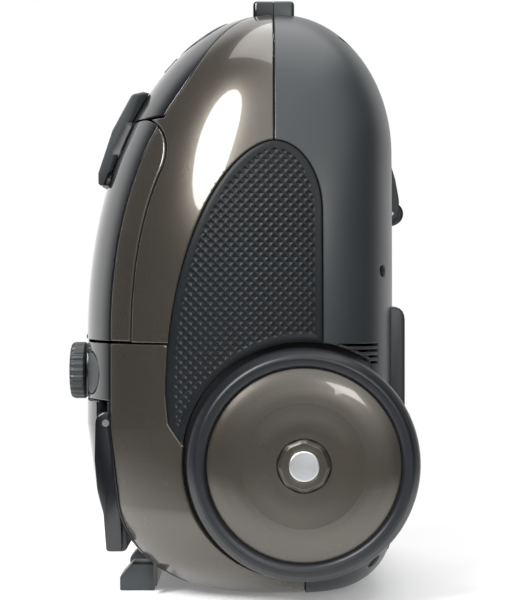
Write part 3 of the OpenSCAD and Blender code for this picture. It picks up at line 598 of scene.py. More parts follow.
FINISHES = {
    "brown_gloss": finish("brown_gloss", (0.088, 0.078, 0.064), 0.27, metallic=0.6, coat=0.9,
                          grain=0.001, tint=0.04),
    "dark_satin": finish("dark_satin", (0.034, 0.039, 0.042), 0.36, grain=0.08, tint=0.08),
    "black_gloss": finish("black_gloss", (0.009, 0.010, 0.012), 0.13, coat=0.5, grain=0.01, tint=0.08),
    "panel_texture": finish("panel_texture", (0.008, 0.010, 0.012), 0.42, grain=0.06, specular=0.25),
    "tyre_rubber": finish("tyre_rubber", (0.009, 0.011, 0.014), 0.36, grain=0.08),
    "soft_rubber": finish("soft_rubber", (0.030, 0.030, 0.032), 0.62, grain=0.2),
    "inner_black": finish("inner_black", (0.045, 0.045, 0.047), 0.5, grain=0.15),
    "board_green": finish("board_green", (0.03, 0.16, 0.07), 0.4, grain=0.3, grain_scale=300.0),
    "bag_fabric": finish("bag_fabric", (0.66, 0.62, 0.54), 0.9, grain=0.9, grain_scale=260.0),
    "filter_foam": finish("filter_foam", (0.74, 0.74, 0.71), 0.95, grain=1.0, grain_scale=180.0),
    "steel": finish("steel", (0.55, 0.56, 0.57), 0.3, metallic=1.0, grain=0.08, grain_scale=500.0),
    "aluminium": finish("aluminium", (0.68, 0.69, 0.70), 0.36, metallic=1.0, grain=0.12, grain_scale=400.0),
    "copper": finish("copper", (0.55, 0.27, 0.14), 0.34, metallic=1.0, grain=0.6, grain_scale=240.0),
}


def show(obj, slot, body, *nodes):
    """Gives a piece its finish and lets it ride on a body and stand for CAD nodes."""
    obj.data.materials.clear()
    obj.data.materials.append(FINISHES[slot])
    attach(obj, body)
    if nodes:
        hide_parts(*nodes)
    return obj


for part in frame["record"]["subparts"]:
    cad = frame["nodes"][part["node"]]
    cad.data.materials.clear()
    cad.data.materials.append(FINISHES[part["material_slot"]])


# ---- camera, light and floor ----

CAMERA_AT = (-0.0061, -1.2, 0.2115)
FOCAL = 94.3
SENSOR = 36.0

camera = bpy.data.objects.new("camera", bpy.data.cameras.new("camera"))
bpy.context.scene.collection.objects.link(camera)
camera.location = CAMERA_AT
camera.rotation_euler = (math.pi / 2, 0, 0)
camera.data.sensor_width = SENSOR
camera.data.lens = FOCAL
camera.data.clip_start = 0.05
camera.data.clip_end = 60
bpy.context.scene.camera = camera
bpy.context.scene.view_settings.view_transform = "Standard"


def softbox(name, spot, aim, width, height, power, shape="RECTANGLE"):
    """An area light that faces the point aim."""
    lamp = bpy.data.lights.new(name, "AREA")
    lamp.shape = shape
    lamp.size = width
    lamp.size_y = height
    lamp.energy = power
    obj = bpy.data.objects.new(name, lamp)
    bpy.context.scene.collection.objects.link(obj)
    obj.location = spot
    obj.rotation_euler = (Vector(aim) - Vector(spot)).to_track_quat("-Z", "Y").to_euler()


AIM = (0, 0, 0.22)
softbox("strip_left", (-1.20, -1.38, 1.75), AIM, 0.95, 1.75, 62, "ELLIPSE")
softbox("box_right", (0.62, -1.90, 0.85), AIM, 0.5, 0.4, 5)
softbox("top", (0.2, 0.3, 2.4), AIM, 1.6, 1.6, 22)


def eased(tree, value, start, stop, low, high):
    """A socket that goes smoothly from low to high while the value goes from start to stop."""
    node = tree.nodes.new("ShaderNodeMapRange")
    node.interpolation_type = "SMOOTHSTEP"
    node.inputs["From Min"].default_value = start
    node.inputs["From Max"].default_value = stop
    node.inputs["To Min"].default_value = low
    node.inputs["To Max"].default_value = high
    tree.links.new(value, node.inputs["Value"])
    return node.outputs["Result"]


def studio():
    """A white wall behind the part and a soft glow above the camera; the camera itself sees plain white."""
    world = bpy.data.worlds.new("studio")
    bpy.context.scene.world = world
    world.use_nodes = True
    tree = world.node_tree
    background = tree.nodes["Background"]
    direction = tree.nodes.new("ShaderNodeTexCoord").outputs["Generated"]
    split = tree.nodes.new("ShaderNodeSeparateXYZ")
    tree.links.new(direction, split.inputs["Vector"])
    wall = eased(tree, split.outputs["Y"], 0.30, 0.62, 0.05, 1.0)
    towards = tree.nodes.new("ShaderNodeVectorMath")
    towards.operation = "DOT_PRODUCT"
    tree.links.new(direction, towards.inputs[0])
    towards.inputs[1].default_value = Vector((0.15, -0.74, 0.66)).normalized()
    glow = eased(tree, towards.outputs["Value"], 0.62, 1.0, 0.0, 1.3)
    total = tree.nodes.new("ShaderNodeMath")
    tree.links.new(wall, total.inputs[0])
    tree.links.new(glow, total.inputs[1])
    rays = tree.nodes.new("ShaderNodeLightPath")
    seen = tree.nodes.new("ShaderNodeMix")
    seen.inputs["B"].default_value = 1.0
    tree.links.new(rays.outputs["Is Camera Ray"], seen.inputs["Factor"])
    tree.links.new(total.outputs["Value"], seen.inputs["A"])
    tree.links.new(seen.outputs["Result"], background.inputs["Strength"])
    background.inputs["Color"].default_value = (1, 1, 1, 1)


def pale_floor():
    """A floor finish that fades out into the white around it."""
    material = bpy.data.materials.new("floor_pale")
    material.use_nodes = True
    tree = material.node_tree
    shader = tree.nodes["Principled BSDF"]
    shader.inputs["Base Color"].default_value = (0.9, 0.9, 0.9, 1)
    shader.inputs["Roughness"].default_value = 0.8
    shader.inputs["Emission Color"].default_value = (1, 1, 1, 1)
    shader.inputs["Emission Strength"].default_value = 0.2
    where = tree.nodes.new("ShaderNodeTexCoord").outputs["Object"]
    away = tree.nodes.new("ShaderNodeVectorMath")
    away.operation = "LENGTH"
    tree.links.new(where, away.inputs[0])
    tree.links.new(eased(tree, away.outputs["Value"], 0.16, 0.75, 1.0, 0.0), shader.inputs["Alpha"])
    return material


studio()
SPAN = 3000
floor = new_mesh("floor", [(-SPAN, -SPAN, 0), (SPAN, -SPAN, 0), (SPAN, SPAN, 0), (-SPAN, SPAN, 0)],
                 [[0, 1, 2, 3]])
floor.data.materials.append(pale_floor())


# ---- shells ----

TOP = TIP - 0.01  # the form ends in a point at the tip itself
LID_GAP = 0.9
EAR_Y = (10.6, 15.4)  # the lid's two ears, which hold the lever's pin
HINGE_R = 2.6
COLLAR_R = 24.0
LEVER_SLOT = (55, 63)  # ahead of the latch pin
LEVER_SLOT_HALF = 8
NOTCH_HALF = 16.6
EAR_CLEAR = 3.4


def front_of_seam(p):
    """In front of the cross seam between the two covers."""
    return COVER_Z + 0.3 - p[:, 2]


def behind_seam(p):
    """Behind the cross seam."""
    return p[:, 2] - COVER_Z + 0.7


def in_strip(p):
    """The straight middle strip of the lid side."""
    return np.abs(p[:, 1]) - TRIM_HALF


def lid_side(p):
    return p[:, 0]


nose_strip = both(strip_edge, lambda p: LID_HIGH - p[:, 2], lid_side)
rear_strip = both(in_strip, behind_seam, lid_side)
panel_hole = grown(panel_area, 0.1)
COLLAR = next(m for m in frame["record"]["mounts"] if m["name"] == "hose_inlet")
COLLAR_AT = np.array(COLLAR["pos_m"]) / MM
COLLAR_AXIS = np.array(COLLAR["axis"], float)
BORE_R = COLLAR["dims"]["r_mm"]
BORE_LONG = COLLAR["dims"]["length_mm"]


def collar_hole(p):
    """The round hole of the hose inlet, along its own axis."""
    away = p - COLLAR_AT
    return np.linalg.norm(away - np.outer(away @ COLLAR_AXIS, COLLAR_AXIS), axis=1) - COLLAR_R - 0.4


window_lo, window_hi = box_mm("bag_window")
window_hole = box_field(window_lo - (20, 0.3, -0.6), window_hi + (20, 0.3, -0.6))
PIN_LO, PIN_HI = box_mm("latch_pin")
PIN_X, PIN_Z = (PIN_LO[0] + PIN_HI[0]) / 2, (PIN_LO[2] + PIN_HI[2]) / 2
lever_slot = box_field((ALL_X, -LEVER_SLOT_HALF, PIN_Z + LEVER_SLOT[0]),
                       (NEAR_X, LEVER_SLOT_HALF, PIN_Z + LEVER_SLOT[1]))
HINGE_LO, HINGE_HI = box_mm("lid_hinge_pin")
HINGE_X, HINGE_Z = (HINGE_LO[0] + HINGE_HI[0]) / 2, (HINGE_LO[2] + HINGE_HI[2]) / 2

front_cover = skin(
    "front_shell", (88, 272, COVER_Z - 4, TOP),
    without(both(upper_zone, front_of_seam), grown(lid_area, LID_GAP), grown(nose_strip, 0.3), panel_hole,
            arch),
    fillet=1.3)
show(front_cover, "brown_gloss", "housing", "front_cover")

rear_cover = skin(
    "rear_shell", (40, 320, -1.0, COVER_Z + 4),
    without(both(upper_zone, behind_seam), grown(rear_strip, 0.2), panel_hole, arch), fillet=1.3)
show(rear_cover, "brown_gloss", "housing", "rear_cover")

TRIM_SEAT = 1.9  # how deep the lid lies under its trim
EDGE_R = 1.3


def lid_relief(p):
    """The lid steps down under its dark trim, and its edge along the trim is rounded."""
    out = np.abs(p[:, 1]) - TRIM_HALF - 0.3
    near = np.clip(EDGE_R - out, 0, EDGE_R)
    return np.where(out < 0, TRIM_SEAT, EDGE_R - np.sqrt(np.clip(EDGE_R**2 - near**2, 0, None)))


lid = skin("lid_shell", (100, 260, LID_LOW - 3, LID_HIGH + 3), lid_area, fillet=1.1, thickness=2.4,
           relief=lid_relief, lines=[(in_strip, (0.28, 0.32, 0.45, 0.8, 1.6))])
show(lid, "brown_gloss", "lid", "lid")

hinge_notch = box_field((ALL_X, -NOTCH_HALF, 0), (0, NOTCH_HALF, HINGE_Z + HINGE_R + 0.4))
ear_holes = either(*[box_field((ALL_X, lo, PIN_Z - EAR_CLEAR), (NEAR_X, hi, PIN_Z + EAR_CLEAR))
                     for lo, hi in (EAR_Y, (-EAR_Y[1], -EAR_Y[0]))])
lid_trim = skin("lid_strip", (130, 230, LID_LOW - 3, LID_HIGH + 3),
                without(both(lid_area, in_strip), hinge_notch, ear_holes), fillet=0.7, thickness=1.2)
show(lid_trim, "black_gloss", "lid", "lid_trim")
nose_trim = skin("nose_strip", (95, 265, LID_HIGH - 2, TOP),
                 without(both(strip_edge, lambda p: LID_HIGH + 1.2 - p[:, 2], lambda p: p[:, 0] + GAP),
                         collar_hole, window_hole, lever_slot, grown(lid_area, 1.2)),
                 fillet=0.7, thickness=1.6)
show(nose_trim, "black_gloss", "housing", "nose_trim")

PANEL_Z0 = float(box_mm("control_panel")[0][2])
pedal_holes = either(*[disc_x(side * PEDAL_Y, KNOB_Z, PEDAL_R + 0.5) for side in (1, -1)])
control_panel = skin("control_strip", (130, 230, PANEL_Z0 - 3, COVER_Z + 1),
                     without(both(grown(in_strip, -0.6), lambda p: PANEL_Z0 - p[:, 2], behind_seam),
                             pedal_holes, disc_x(0, KNOB_Z, 5.5)), fillet=0.8, thickness=2.6)
show(control_panel, "black_gloss", "housing", "control_panel")

VENT_X = (44.0, 72.5)
VENT_Y = (85.0, 125.0)
VENT_Z = 168.0
VENT_PITCH = 4.1
VENT_T = 1.8
vents = [box_field((VENT_X[0], lo, VENT_Z + VENT_PITCH * i - VENT_T / 2),
                   (VENT_X[1], hi, VENT_Z + VENT_PITCH * i + VENT_T / 2))
         for i in range(4) for lo, hi in ((-VENT_Y[1], -VENT_Y[0]), VENT_Y)]
GRILLE_X = 27.0
GRILLE_PITCH = 5.2
GRILLE_W = 2.6
GRILLE_HALF = 52.0
grille = [box_field((GRILLE_X + GRILLE_PITCH * i, -GRILLE_HALF, -1),
                    (GRILLE_X + GRILLE_PITCH * i + GRILLE_W, GRILLE_HALF, 14 + 2 * i)) for i in range(7)]
SCREWS = [(38.0, TIP - 26), (90.0, COVER_Z + 51), (84.0, 26.0)]  # as (y, z), on both sides
SCREW_HOLE_R = 4.2
screw_holes = [disc_x(sign * y, z, SCREW_HOLE_R) for y, z in SCREWS for sign in (-1, 1)]
base_shell = skin(
    "base_skin", (-92, 92, -1.0, TOP),
    without(lower_zone, arch, panel_hole, disc_x(0, FORK_Z, FORK_R + 1.5), *vents, *grille, *screw_holes),
    fillet=0.8, thickness=3.5)
show(base_shell, "dark_satin", "housing", "base_shell")


# ---- textured side panels ----

FRAME_W = 5.2  # smooth frame round the weave
FRAME_DEPTH = 0.3
FRAME_CROWN = 0.25
WEAVE = 4.8  # distance between two ridges
WEAVE_DEPTH = 0.85
WEAVE_RISE = 0.8
WEAVE_POWER = 3  # how narrow the ridges are


def panel_relief(p):
    """A smooth raised frame round a field of crossing ridges."""
    inward = -panel_area(p) - 0.4
    arch_gap = np.hypot(p[:, 0] - WHEEL_X, p[:, 2] - WHEEL_Z) - ARCH_R
    inward = np.minimum(inward, arch_gap)
    field = np.clip((inward - FRAME_W) / 1.0, 0, 1)
    u = (p[:, 0] + p[:, 2]) / math.sqrt(2) * math.pi / WEAVE
    w = (p[:, 0] - p[:, 2]) / math.sqrt(2) * math.pi / WEAVE
    height = np.maximum(np.abs(np.cos(u)), np.abs(np.cos(w))) ** WEAVE_POWER
    crown = FRAME_CROWN * np.clip(1 - np.abs(inward - FRAME_W / 2) / (FRAME_W / 2), 0, 1)
    return FRAME_DEPTH - crown * (1 - field) + field * (WEAVE_DEPTH - WEAVE_RISE * height)


for name, turn in (("left", (-165, -15)), ("right", (15, 165))):
    panel = skin(f"woven_panel_{name}", (*turn, PANEL_LOW - 3, PANEL_APEX + 3),
                 without(grown(panel_area, -0.4), grown(arch, 0.3)), fillet=0.8, thickness=1.0, step=0.6,
                 relief=panel_relief)
    show(panel, "panel_texture", "housing", f"side_panel_{name}")


# ---- wheel arches: a dark cup behind each wheel ----


def flank(x, z):
    """Half width of the form where its surface passes a place in the X-Z plane."""
    upper, lower, half = (float(s[0]) for s in sizes(np.array([z])))
    reach, power = (lower, LOWER_POWER) if x > 0 else (upper, UPPER_POWER)
    share = min(1, abs(x) / reach)
    return half * max(0, 1 - share**power) ** (1 / power)


CUP_CENTRE_R = 8.0
CUP_WALL = 2.0


def on_cup(r, t):
    """A place on the arch's circle, pulled in until the form there reaches past the cup's floor."""
    least = ARCH_Y + 1.5 - (r > ARCH_R) * 0.6
    while True:
        x, z = WHEEL_X + r * math.cos(t), max(1.0, WHEEL_Z + r * math.sin(t))
        if r <= CUP_CENTRE_R + 1 or flank(x, z) >= least:
            return x, z
        r -= 0.5


def arch_cup(name, side):
    """The floor and the wall of the wheel arch; the wall ends just under the form."""
    turns = np.linspace(0, 2 * math.pi, 120, endpoint=False)
    points = []
    outer_r = ARCH_R + CUP_WALL
    for r, share in ((CUP_CENTRE_R, 0), (ARCH_R, 0), (ARCH_R, 1), (outer_r, 1), (outer_r, 0)):
        for t in turns:
            x, z = on_cup(r, t)
            top = max(ARCH_Y + 0.3, flank(x, z) - 1.2)
            points.append((x, side * (ARCH_Y + share * (top - ARCH_Y)), z))
    n = len(turns)
    faces = [(i * n + k, i * n + (k + 1) % n, (i + 1) * n + (k + 1) % n, (i + 1) * n + k)
             for i in range(len(points) // n - 1) for k in range(n)]
    return recalculated(new_mesh(name, points, faces))


for name, side in (("left", -1), ("right", 1)):
    show(arch_cup(f"arch_cup_{name}", side), "inner_black", "housing")


# ---- nose boss, parking plate and caster cup ----

BOSS_W = 44.0
BOSS_H = 15.5  # reach to either side of the parting plane
BOSS_TOP = TIP + BOSS_RISE


def boss(name, sign):
    """The half of the block at the tip that lies on one side of the parting plane."""
    whole = block(name, (-BOSS_H, -BOSS_W / 2, TIP - 12), (BOSS_H, BOSS_W / 2, BOSS_TOP), 3.0)
    lo, hi = sorted((sign * GAP, -sign * 2 * BOSS_H))
    return subtract(whole, block("other_half", (lo, -BOSS_W, TIP - 20), (hi, BOSS_W, BOSS_TOP + 5)))


core = block("nose_core", (-2, -BOSS_W / 2 + 2, TIP - 10), (2, BOSS_W / 2 - 2, BOSS_TOP - 1))
show(core, "inner_black", "housing")
show(boss("nose_boss_base", 1), "dark_satin", "housing")
show(boss("nose_boss_trim", -1), "black_gloss", "housing")

PAN_X = LOWER + PAN_RISE
PAN_TOP = COVER_Z + 26
PAN_HALF = 62.0
SLOT_W = 26.0
SLOT_T = 5.0
SLOT_DEEP = 34.0
CUP_DEEP = 21.5  # from the back of the caster's fork to the floor of its cup

pan = prism("parking_plate", rounded_outline([
    (LOWER - 14, 30, 0), (PAN_X - 12, 30, 0), (PAN_X - 9, 42, 12), (PAN_X - 3, 62, 30), (PAN_X, 84, 20),
    (PAN_X, PAN_TOP, 11), (LOWER - 14, PAN_TOP, 0)]), -PAN_HALF, PAN_HALF, "y", 2.2)
slot = block("slot_cut", (PAN_X - 2 - SLOT_T, -SLOT_W / 2, PAN_TOP - SLOT_DEEP),
             (PAN_X - 2, SLOT_W / 2, PAN_TOP + 9))
show(subtract(pan, slot), "dark_satin", "housing")

cup_floor = float(box_mm("caster_fork")[0][0]) + CUP_DEEP
cup = lathe("caster_cup", rounded_outline([
    (4.2, cup_floor - 3, 0), (FORK_R + 3.4, cup_floor - 3, 1), (FORK_R + 3.4, LOWER - 1.6, 0),
    (FORK_R + 2.6, LOWER - 0.2, 0.6), (FORK_R + 1.1, LOWER - 0.4, 0.6), (FORK_R + 1, cup_floor, 0.8),
    (4.2, cup_floor, 0)]), (0, 0, FORK_Z), (1, 0, 0))
show(cup, "dark_satin", "housing")


# ---- wheels ----

RIM_R = WHEEL_R - 13.5
DISH_R = 42.5
CAP_R = 18.0
FLAT_SHARE = 0.955  # how deep the flats of the hub cap cut


def flats(r, h, t):
    """Eight shallow flats round the hub cap."""
    outward = np.clip((r - 11) / 5, 0, 1)
    flat = np.clip(FLAT_SHARE / np.cos(t % (math.pi / 4) - math.pi / 8), 0, 1)
    return r * (1 - outward * (1 - flat))


def wheel(side, name):
    """Tyre, glossy disc with its dish, hub cap and plain badge; h runs outwards from the inner side."""
    centre, axis = (WHEEL_X, side * WHEEL_Y, WHEEL_Z), (0, side, 0)
    tyre = lathe(f"tyre_ring_{name}", rounded_outline([
        (RIM_R + 0.15, 0.8, 0.5), (WHEEL_R - 5, 0.1, 4), (WHEEL_R, 5, 6), (WHEEL_R, WHEEL_W - 8, 12),
        (WHEEL_R - 6, WHEEL_W + 0.2, 9), (RIM_R + 1.5, WHEEL_W - 1.4, 5),
        (RIM_R + 0.15, WHEEL_W - 4.6, 0.7)], 12), centre, axis, 200)
    show(tyre, "tyre_rubber", f"wheel_{name}", f"tyre_{name}")
    disc = lathe(f"wheel_face_{name}", rounded_outline([
        (9, 3, 0), (12, WHEEL_W - 8, 0), (DISH_R, WHEEL_W - 4, 0), (RIM_R - 3, WHEEL_W - 5, 0),
        (RIM_R - 2, 2, 0), (RIM_R, 2, 0), (RIM_R, WHEEL_W - 4.6, 0.8), (RIM_R - 7, WHEEL_W - 1.9, 150),
        (DISH_R + 7, WHEEL_W - 0.1, 150), (DISH_R, WHEEL_W + 0.4, 1.5), (CAP_R + 11, WHEEL_W - 1.5, 150),
        (CAP_R + 0.7, WHEEL_W - 2.1, 0.2), (CAP_R + 0.5, WHEEL_W - 6.5, 0), (9, WHEEL_W - 6.5, 0)], 12),
        centre, axis, 200)
    show(disc, "brown_gloss", f"wheel_{name}", f"wheel_disc_{name}")
    cap = lathe(f"hub_face_{name}", rounded_outline([
        (0.01, WHEEL_W - 1.5, 0), (8, WHEEL_W - 1.5, 0), (8, WHEEL_W - 4.2, 0), (CAP_R, WHEEL_W - 4.2, 0.4),
        (CAP_R, WHEEL_W - 1.4, 0.5), (CAP_R - 2.2, WHEEL_W + 1.0, 0.7), (11.4, WHEEL_W + 0.7, 0.4),
        (11, WHEEL_W + 0.4, 0.3), (0.01, WHEEL_W + 0.4, 0)], 8), centre, axis, 192, flats)
    show(cap, "brown_gloss", f"wheel_{name}", f"hub_cap_{name}")
    badge = lathe(f"hub_badge_{name}", rounded_outline([
        (0.01, WHEEL_W + 0.3, 0), (10.4, WHEEL_W + 0.3, 0), (10.4, WHEEL_W + 1.2, 0.5),
        (9.6, WHEEL_W + 1.6, 0.5), (0.01, WHEEL_W + 1.9, 0)], 6), centre, axis, 96)
    show(badge, "aluminium", f"wheel_{name}")


wheel(-1, "left")
wheel(1, "right")


# ---- knob, its plate, hinge knuckles ----

KNOB_LO, KNOB_HI = box_mm("suction_knob")
KNOB_R = (KNOB_HI[1] - KNOB_LO[1]) / 2
KNOB_OUT = -KNOB_LO[0]
GROOVES = 24
GROOVE_DEPTH = 1.1
KNUCKLE_FROM = -16.0
KNUCKLE_PITCH = 6.4
KNUCKLE_GAP = 0.2
KNUCKLE_BORE = 1.25


def scallops(r, h, t):
    """Finger grooves round the knob's rim."""
    rim = np.clip((r - KNOB_R + 2.4) / 2.0, 0, 1)
    return r - GROOVE_DEPTH * rim * (0.5 - 0.5 * np.cos(GROOVES * t)) ** 2


knob = lathe("knob_grip", rounded_outline([
    (0.01, KNOB_OUT - 1.4, 0), (KNOB_R - 9, KNOB_OUT - 1.4, 2), (KNOB_R - 6.5, KNOB_OUT, 1.6),
    (KNOB_R - 1, KNOB_OUT, 2), (KNOB_R, KNOB_OUT - 3, 2), (KNOB_R, UPPER + 2.2, 0.8),
    (KNOB_R - 1.6, UPPER + 0.9, 0.6), (3, UPPER + 0.9, 0), (3, UPPER - 16, 0), (0.01, UPPER - 16, 0)], 7),
    (0, 0, KNOB_Z), (-1, 0, 0), 12 * GROOVES, scallops)
show(knob, "dark_satin", "knob", "suction_knob")
plate = lathe("knob_plate", rounded_outline([
    (5.6, UPPER - 4, 0), (KNOB_R + 3.5, UPPER - 6, 0), (KNOB_R + 3.5, UPPER - 0.9, 0.8),
    (5.6, UPPER + 0.3, 0.4)]), (0, 0, KNOB_Z), (-1, 0, 0), 128)
show(plate, "black_gloss", "housing")


def knuckle(name, i):
    """One sleeve of the lid hinge."""
    y0 = KNUCKLE_FROM + KNUCKLE_PITCH * i + KNUCKLE_GAP
    y1 = KNUCKLE_FROM + KNUCKLE_PITCH * (i + 1) - KNUCKLE_GAP
    profile = [(KNUCKLE_BORE, y0, 0), (HINGE_R, y0, 0.4), (HINGE_R, y1, 0.4), (KNUCKLE_BORE, y1, 0)]
    return lathe(name, rounded_outline(profile), (HINGE_X, 0, HINGE_Z), (0, 1, 0), 40)


for i in (1, 3):
    show(knuckle(f"hinge_knuckle_{i}", i), "black_gloss", "housing")
for i in (0, 2, 4):
    show(knuckle(f"lid_knuckle_{i}", i), "brown_gloss", "lid")


# ---- latch lever ----

LEVER_LEN = 68.0
LEVER_W = float(box_mm("latch_lever")[1][1])


def crest(z):
    """Height of the form's middle line over the parting plane, on the lid side."""
    return float(sizes(np.array([float(z)]))[0][0])


lever_front = PIN_Z + LEVER_LEN
top_edge = [(-crest(PIN_Z + ahead) - proud, PIN_Z + ahead, 4)
            for ahead, proud in ((6, 8.6), (38, 10.6), (65, 10.8))]
tail = [(-90, PIN_Z + 20, 0), (PIN_X + 5, PIN_Z + 6, 0), (PIN_X + 1.2, PIN_Z - 3.4, 1.5),
        (PIN_X - 2.6, PIN_Z - 2.6, 2)]
front = [(-crest(lever_front) - 4, lever_front - 1, 1), (-80, lever_front - 6, 0)]
lever = prism("lever_body", rounded_outline(tail + top_edge + front, 5), -LEVER_W, LEVER_W, "y", 0.9)
form = skin("form_cut", (110, 250, PIN_Z - 12, lever_front + 14), lambda p: np.full(len(p), -9.0),
            thickness=34, relief=lambda p: np.full(len(p), -0.5), step=2.2)
slit = prism("slit_cut", [(-crest(PIN_Z + 20 + 8 * k) - 3.4, PIN_Z + 20 + 8 * k) for k in range(4)]
             + [(NEAR_X, PIN_Z + 44), (NEAR_X, PIN_Z + 20)], -60, 60)
ear_cuts = [block(f"ear_cut_{k}", (PIN_X - 3.6, lo, PIN_Z - 60), (0, lo + 4.8, PIN_Z + 4.6))
            for k, lo in ((0, EAR_Y[0]), (1, -EAR_Y[1]))]
show(subtract(lever, slit, *ear_cuts, form), "dark_satin", "latch", "latch_lever")
for name, side in (("left", -1), ("right", 1)):
    y0, y1 = sorted((side * (EAR_Y[0] + 0.4), side * (EAR_Y[1] - 0.4)))
    seat = -crest(PIN_Z) + 2
    ear = prism(f"lid_ear_{name}", rounded_outline([
        (PIN_X - 3, PIN_Z - 3, 2.5), (PIN_X - 3, PIN_Z + 3, 2.5), (seat, PIN_Z + 3, 0),
        (seat, PIN_Z - 3, 0)]), y0, y1, "y", 0.3)
    show(ear, "brown_gloss", "lid")


# ---- hose collar ----

collar_end = BORE_LONG / 2
collar = lathe("hose_collar", rounded_outline([
    (BORE_R, -collar_end, 0), (BORE_R + 3.5, -collar_end, 0.6), (BORE_R + 3.5, collar_end - 11, 0.5),
    (COLLAR_R + 4, collar_end - 11, 0.4), (COLLAR_R + 4, collar_end - 8.4, 0.4),
    (COLLAR_R, collar_end - 8.4, 0.4), (COLLAR_R, collar_end - 0.2, 1.4), (BORE_R + 2.4, collar_end, 1.2),
    (BORE_R, collar_end - 3.4, 1.6)], 6), COLLAR_AT, COLLAR_AXIS, 128)
show(collar, "dark_satin", "housing", "hose_inlet")


# ---- rear trim, handle and feet ----

GRIP_LO, GRIP_HI = box_mm("handle_grip")
HUMP_HALF = TRIM_HALF - 17
TRAY_HALF = TRIM_HALF - 0.6
WALL_IN = TRIM_HALF - 3
WALL_FROM = 9
CHANNEL_X = 107.0
POCKET_X = 84.0
POCKET_FROM = 6
SHEET = 2.5
LEDGE_Z = GRIP_HI[2] + 2
TRAY_TOP = PANEL_Z0 - 0.6


def in_hump(p):
    """The raised middle of the rear trim."""
    return np.maximum(np.abs(p[:, 1]) - HUMP_HALF, np.maximum(LEDGE_Z - p[:, 2], p[:, 2] - TRAY_TOP))


hump = skin("rear_hump", (130, 230, LEDGE_Z - 3, PANEL_Z0 + 2), in_hump, fillet=2.2, thickness=9)
show(hump, "black_gloss", "housing", "rear_trim")
for name, side in (("left", -1), ("right", 1)):
    y0, y1 = sorted((side * (HUMP_HALF - 2.5), side * TRAY_HALF))
    channel_floor = block(f"channel_floor_{name}", (-CHANNEL_X, y0, LEDGE_Z),
                          (-CHANNEL_X + SHEET, y1, TRAY_TOP), 0.4)
    show(channel_floor, "black_gloss", "housing")
ledge = block("pocket_ledge", (-CHANNEL_X, -TRAY_HALF, LEDGE_Z), (-POCKET_X, TRAY_HALF, LEDGE_Z + SHEET), 0.5)
show(ledge, "black_gloss", "housing")
pocket_floor = block("pocket_floor", (-POCKET_X - SHEET, -TRAY_HALF, POCKET_FROM),
                     (-POCKET_X, TRAY_HALF, LEDGE_Z + 1), 0.5)
show(pocket_floor, "black_gloss", "housing")


def in_channel_wall(p):
    """The outer walls of the handle's channels."""
    return np.maximum(np.maximum(WALL_IN - np.abs(p[:, 1]), np.abs(p[:, 1]) - TRAY_HALF),
                      np.maximum(WALL_FROM - p[:, 2], p[:, 2] - TRAY_TOP))


walls = skin("channel_walls", (95, 265, 6, PANEL_Z0 + 2), in_channel_wall, fillet=0.6, thickness=14, step=1.2)
show(walls, "black_gloss", "housing")

PIVOT_LO, PIVOT_HI = box_mm("handle_pins")
BAIL_X, BAIL_Z = (PIVOT_LO[0] + PIVOT_HI[0]) / 2, (PIVOT_LO[2] + PIVOT_HI[2]) / 2
ARM = float(box_mm("carry_handle")[1][1])
ARM_T = 7.0
PIVOT_R = 8.0
G0, G1 = GRIP_LO[2], GRIP_HI[2]
arm_outline = rounded_outline(
    [(BAIL_X + PIVOT_R, BAIL_Z, 0)]
    + [(BAIL_X + PIVOT_R * math.cos(a), BAIL_Z + PIVOT_R * math.sin(a), 0)
       for a in np.linspace(0.2, math.pi - 0.2, 14)]
    + [(BAIL_X - PIVOT_R, BAIL_Z, 0), (BAIL_X - 8.5, 96, 30), (BAIL_X - 6.5, 74, 30),
       (BAIL_X - 2, G1 + 5, 10), (BAIL_X, G0 + 1, 3), (BAIL_X + 12, G0 + 1, 4), (BAIL_X + 11, 74, 30),
       (BAIL_X + 9, 100, 30)], 6)
arms = []
for side in (-1, 1):
    y0, y1 = sorted((side * (ARM - ARM_T), side * ARM))
    arms.append(prism(f"arm_{side}", arm_outline, y0, y1, "y", 1.7))
arms.append(block("bar", (BAIL_X + 4, -ARM + 2, G0 + 6), (BAIL_X + 10, ARM - 2, G1 - 7), 0.6))
show(joined("handle_bow", arms), "black_gloss", "handle", "carry_handle")
grip = prism("grip_sleeve", rounded_outline([
    (GRIP_LO[0], G0, 5), (GRIP_HI[0], G0, 5), (GRIP_HI[0], G1, 5), (GRIP_LO[0], G1, 5)], 7),
    GRIP_LO[1], GRIP_HI[1], "y", 1.2)
show(grip, "dark_satin", "handle", "handle_grip")

FOOT_LO, FOOT_HI = box_mm("rear_feet")
FOOT_IN = 30
feet = []
for side in (-1, 1):
    y0, y1 = sorted((side * FOOT_IN, side * FOOT_HI[1]))
    feet.append(prism(f"foot_{side}", rounded_outline([
        (FOOT_LO[0], 0.05, 1.5), (FOOT_HI[0] - 0.5, 0.05, 0.5), (FOOT_HI[0], 4, 0.5),
        (FOOT_HI[0], FOOT_HI[2], 0.5), (FOOT_LO[0] + 8, FOOT_HI[2], 3), (FOOT_LO[0], 10, 3)]),
        y0, y1, "y", 1.0))
show(joined("foot_pair", feet), "dark_satin", "housing", "rear_feet")


# ---- dust bag: cloth swelled by cloth simulation ----

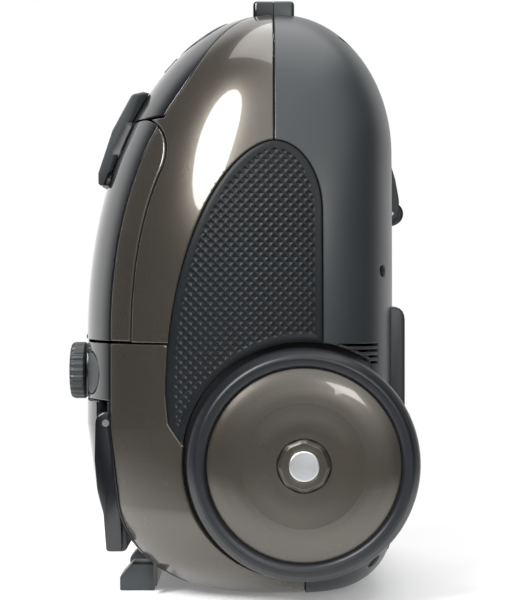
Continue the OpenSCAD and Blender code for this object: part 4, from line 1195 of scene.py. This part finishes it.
BAG_FIRST = 0.94  # size of the bag before it is blown up, over its CAD solid's
BAG_GRID = 4.5
BAG_PRESSURE = 4.0
BAG_REACH = 5.0  # how far a point of the cloth may move
BAG_CLEAR = 0.3  # room left to the CAD solid's box


def points_of(mesh):
    """A mesh's points as rows."""
    co = np.empty(len(mesh.vertices) * 3, np.float32)
    mesh.vertices.foreach_get("co", co)
    return co.reshape(-1, 3)


def swelled(obj, pressure, reach_mm, frames=20):
    """The object blown up as cloth, with each point's way limited."""
    start = points_of(obj.data)
    m = obj.modifiers.new("cloth", "CLOTH")
    m.settings.use_pressure = True
    m.settings.uniform_pressure_force = pressure
    m.settings.effector_weights.gravity = 0
    m.settings.quality = 6
    m.point_cache.frame_start = 1
    m.point_cache.frame_end = frames
    for step in range(1, frames + 1):
        bpy.context.scene.frame_set(step)
    applied(obj, 180)
    bpy.context.scene.frame_set(1)
    way = points_of(obj.data) - start
    long = np.linalg.norm(way, axis=1)[:, None]
    moved = start + way * np.minimum(1, reach_mm * MM / np.maximum(long, 1e-9))
    obj.data.vertices.foreach_set("co", moved.ravel())
    return obj


cad_bag = frame["nodes"]["dust_bag"]
bag_lo, bag_hi = box_mm("dust_bag")
bag_middle = (bag_lo + bag_hi) / 2
turn = np.array(cad_bag.matrix_world.to_3x3())
shift = np.array(cad_bag.matrix_world.translation)
bag_verts = (points_of(cad_bag.data) @ turn.T + shift) / MM
bag = new_mesh("dust_bag_cloth", bag_middle + BAG_FIRST * (bag_verts - bag_middle),
               [list(f.vertices) for f in cad_bag.data.polygons])
remesh = bag.modifiers.new("even", "REMESH")
remesh.mode = "VOXEL"
remesh.voxel_size = BAG_GRID * MM
applied(bag, 180)
swelled(bag, BAG_PRESSURE, BAG_REACH)
held = np.clip(points_of(bag.data), (bag_lo + BAG_CLEAR) * MM, (bag_hi - BAG_CLEAR) * MM)
bag.data.vertices.foreach_set("co", held.ravel())
smooth = bag.modifiers.new("smooth", "SUBSURF")
smooth.levels = 1
smooth.render_levels = 1
applied(bag, 180)
show(bag, "bag_fabric", "housing", "dust_bag")
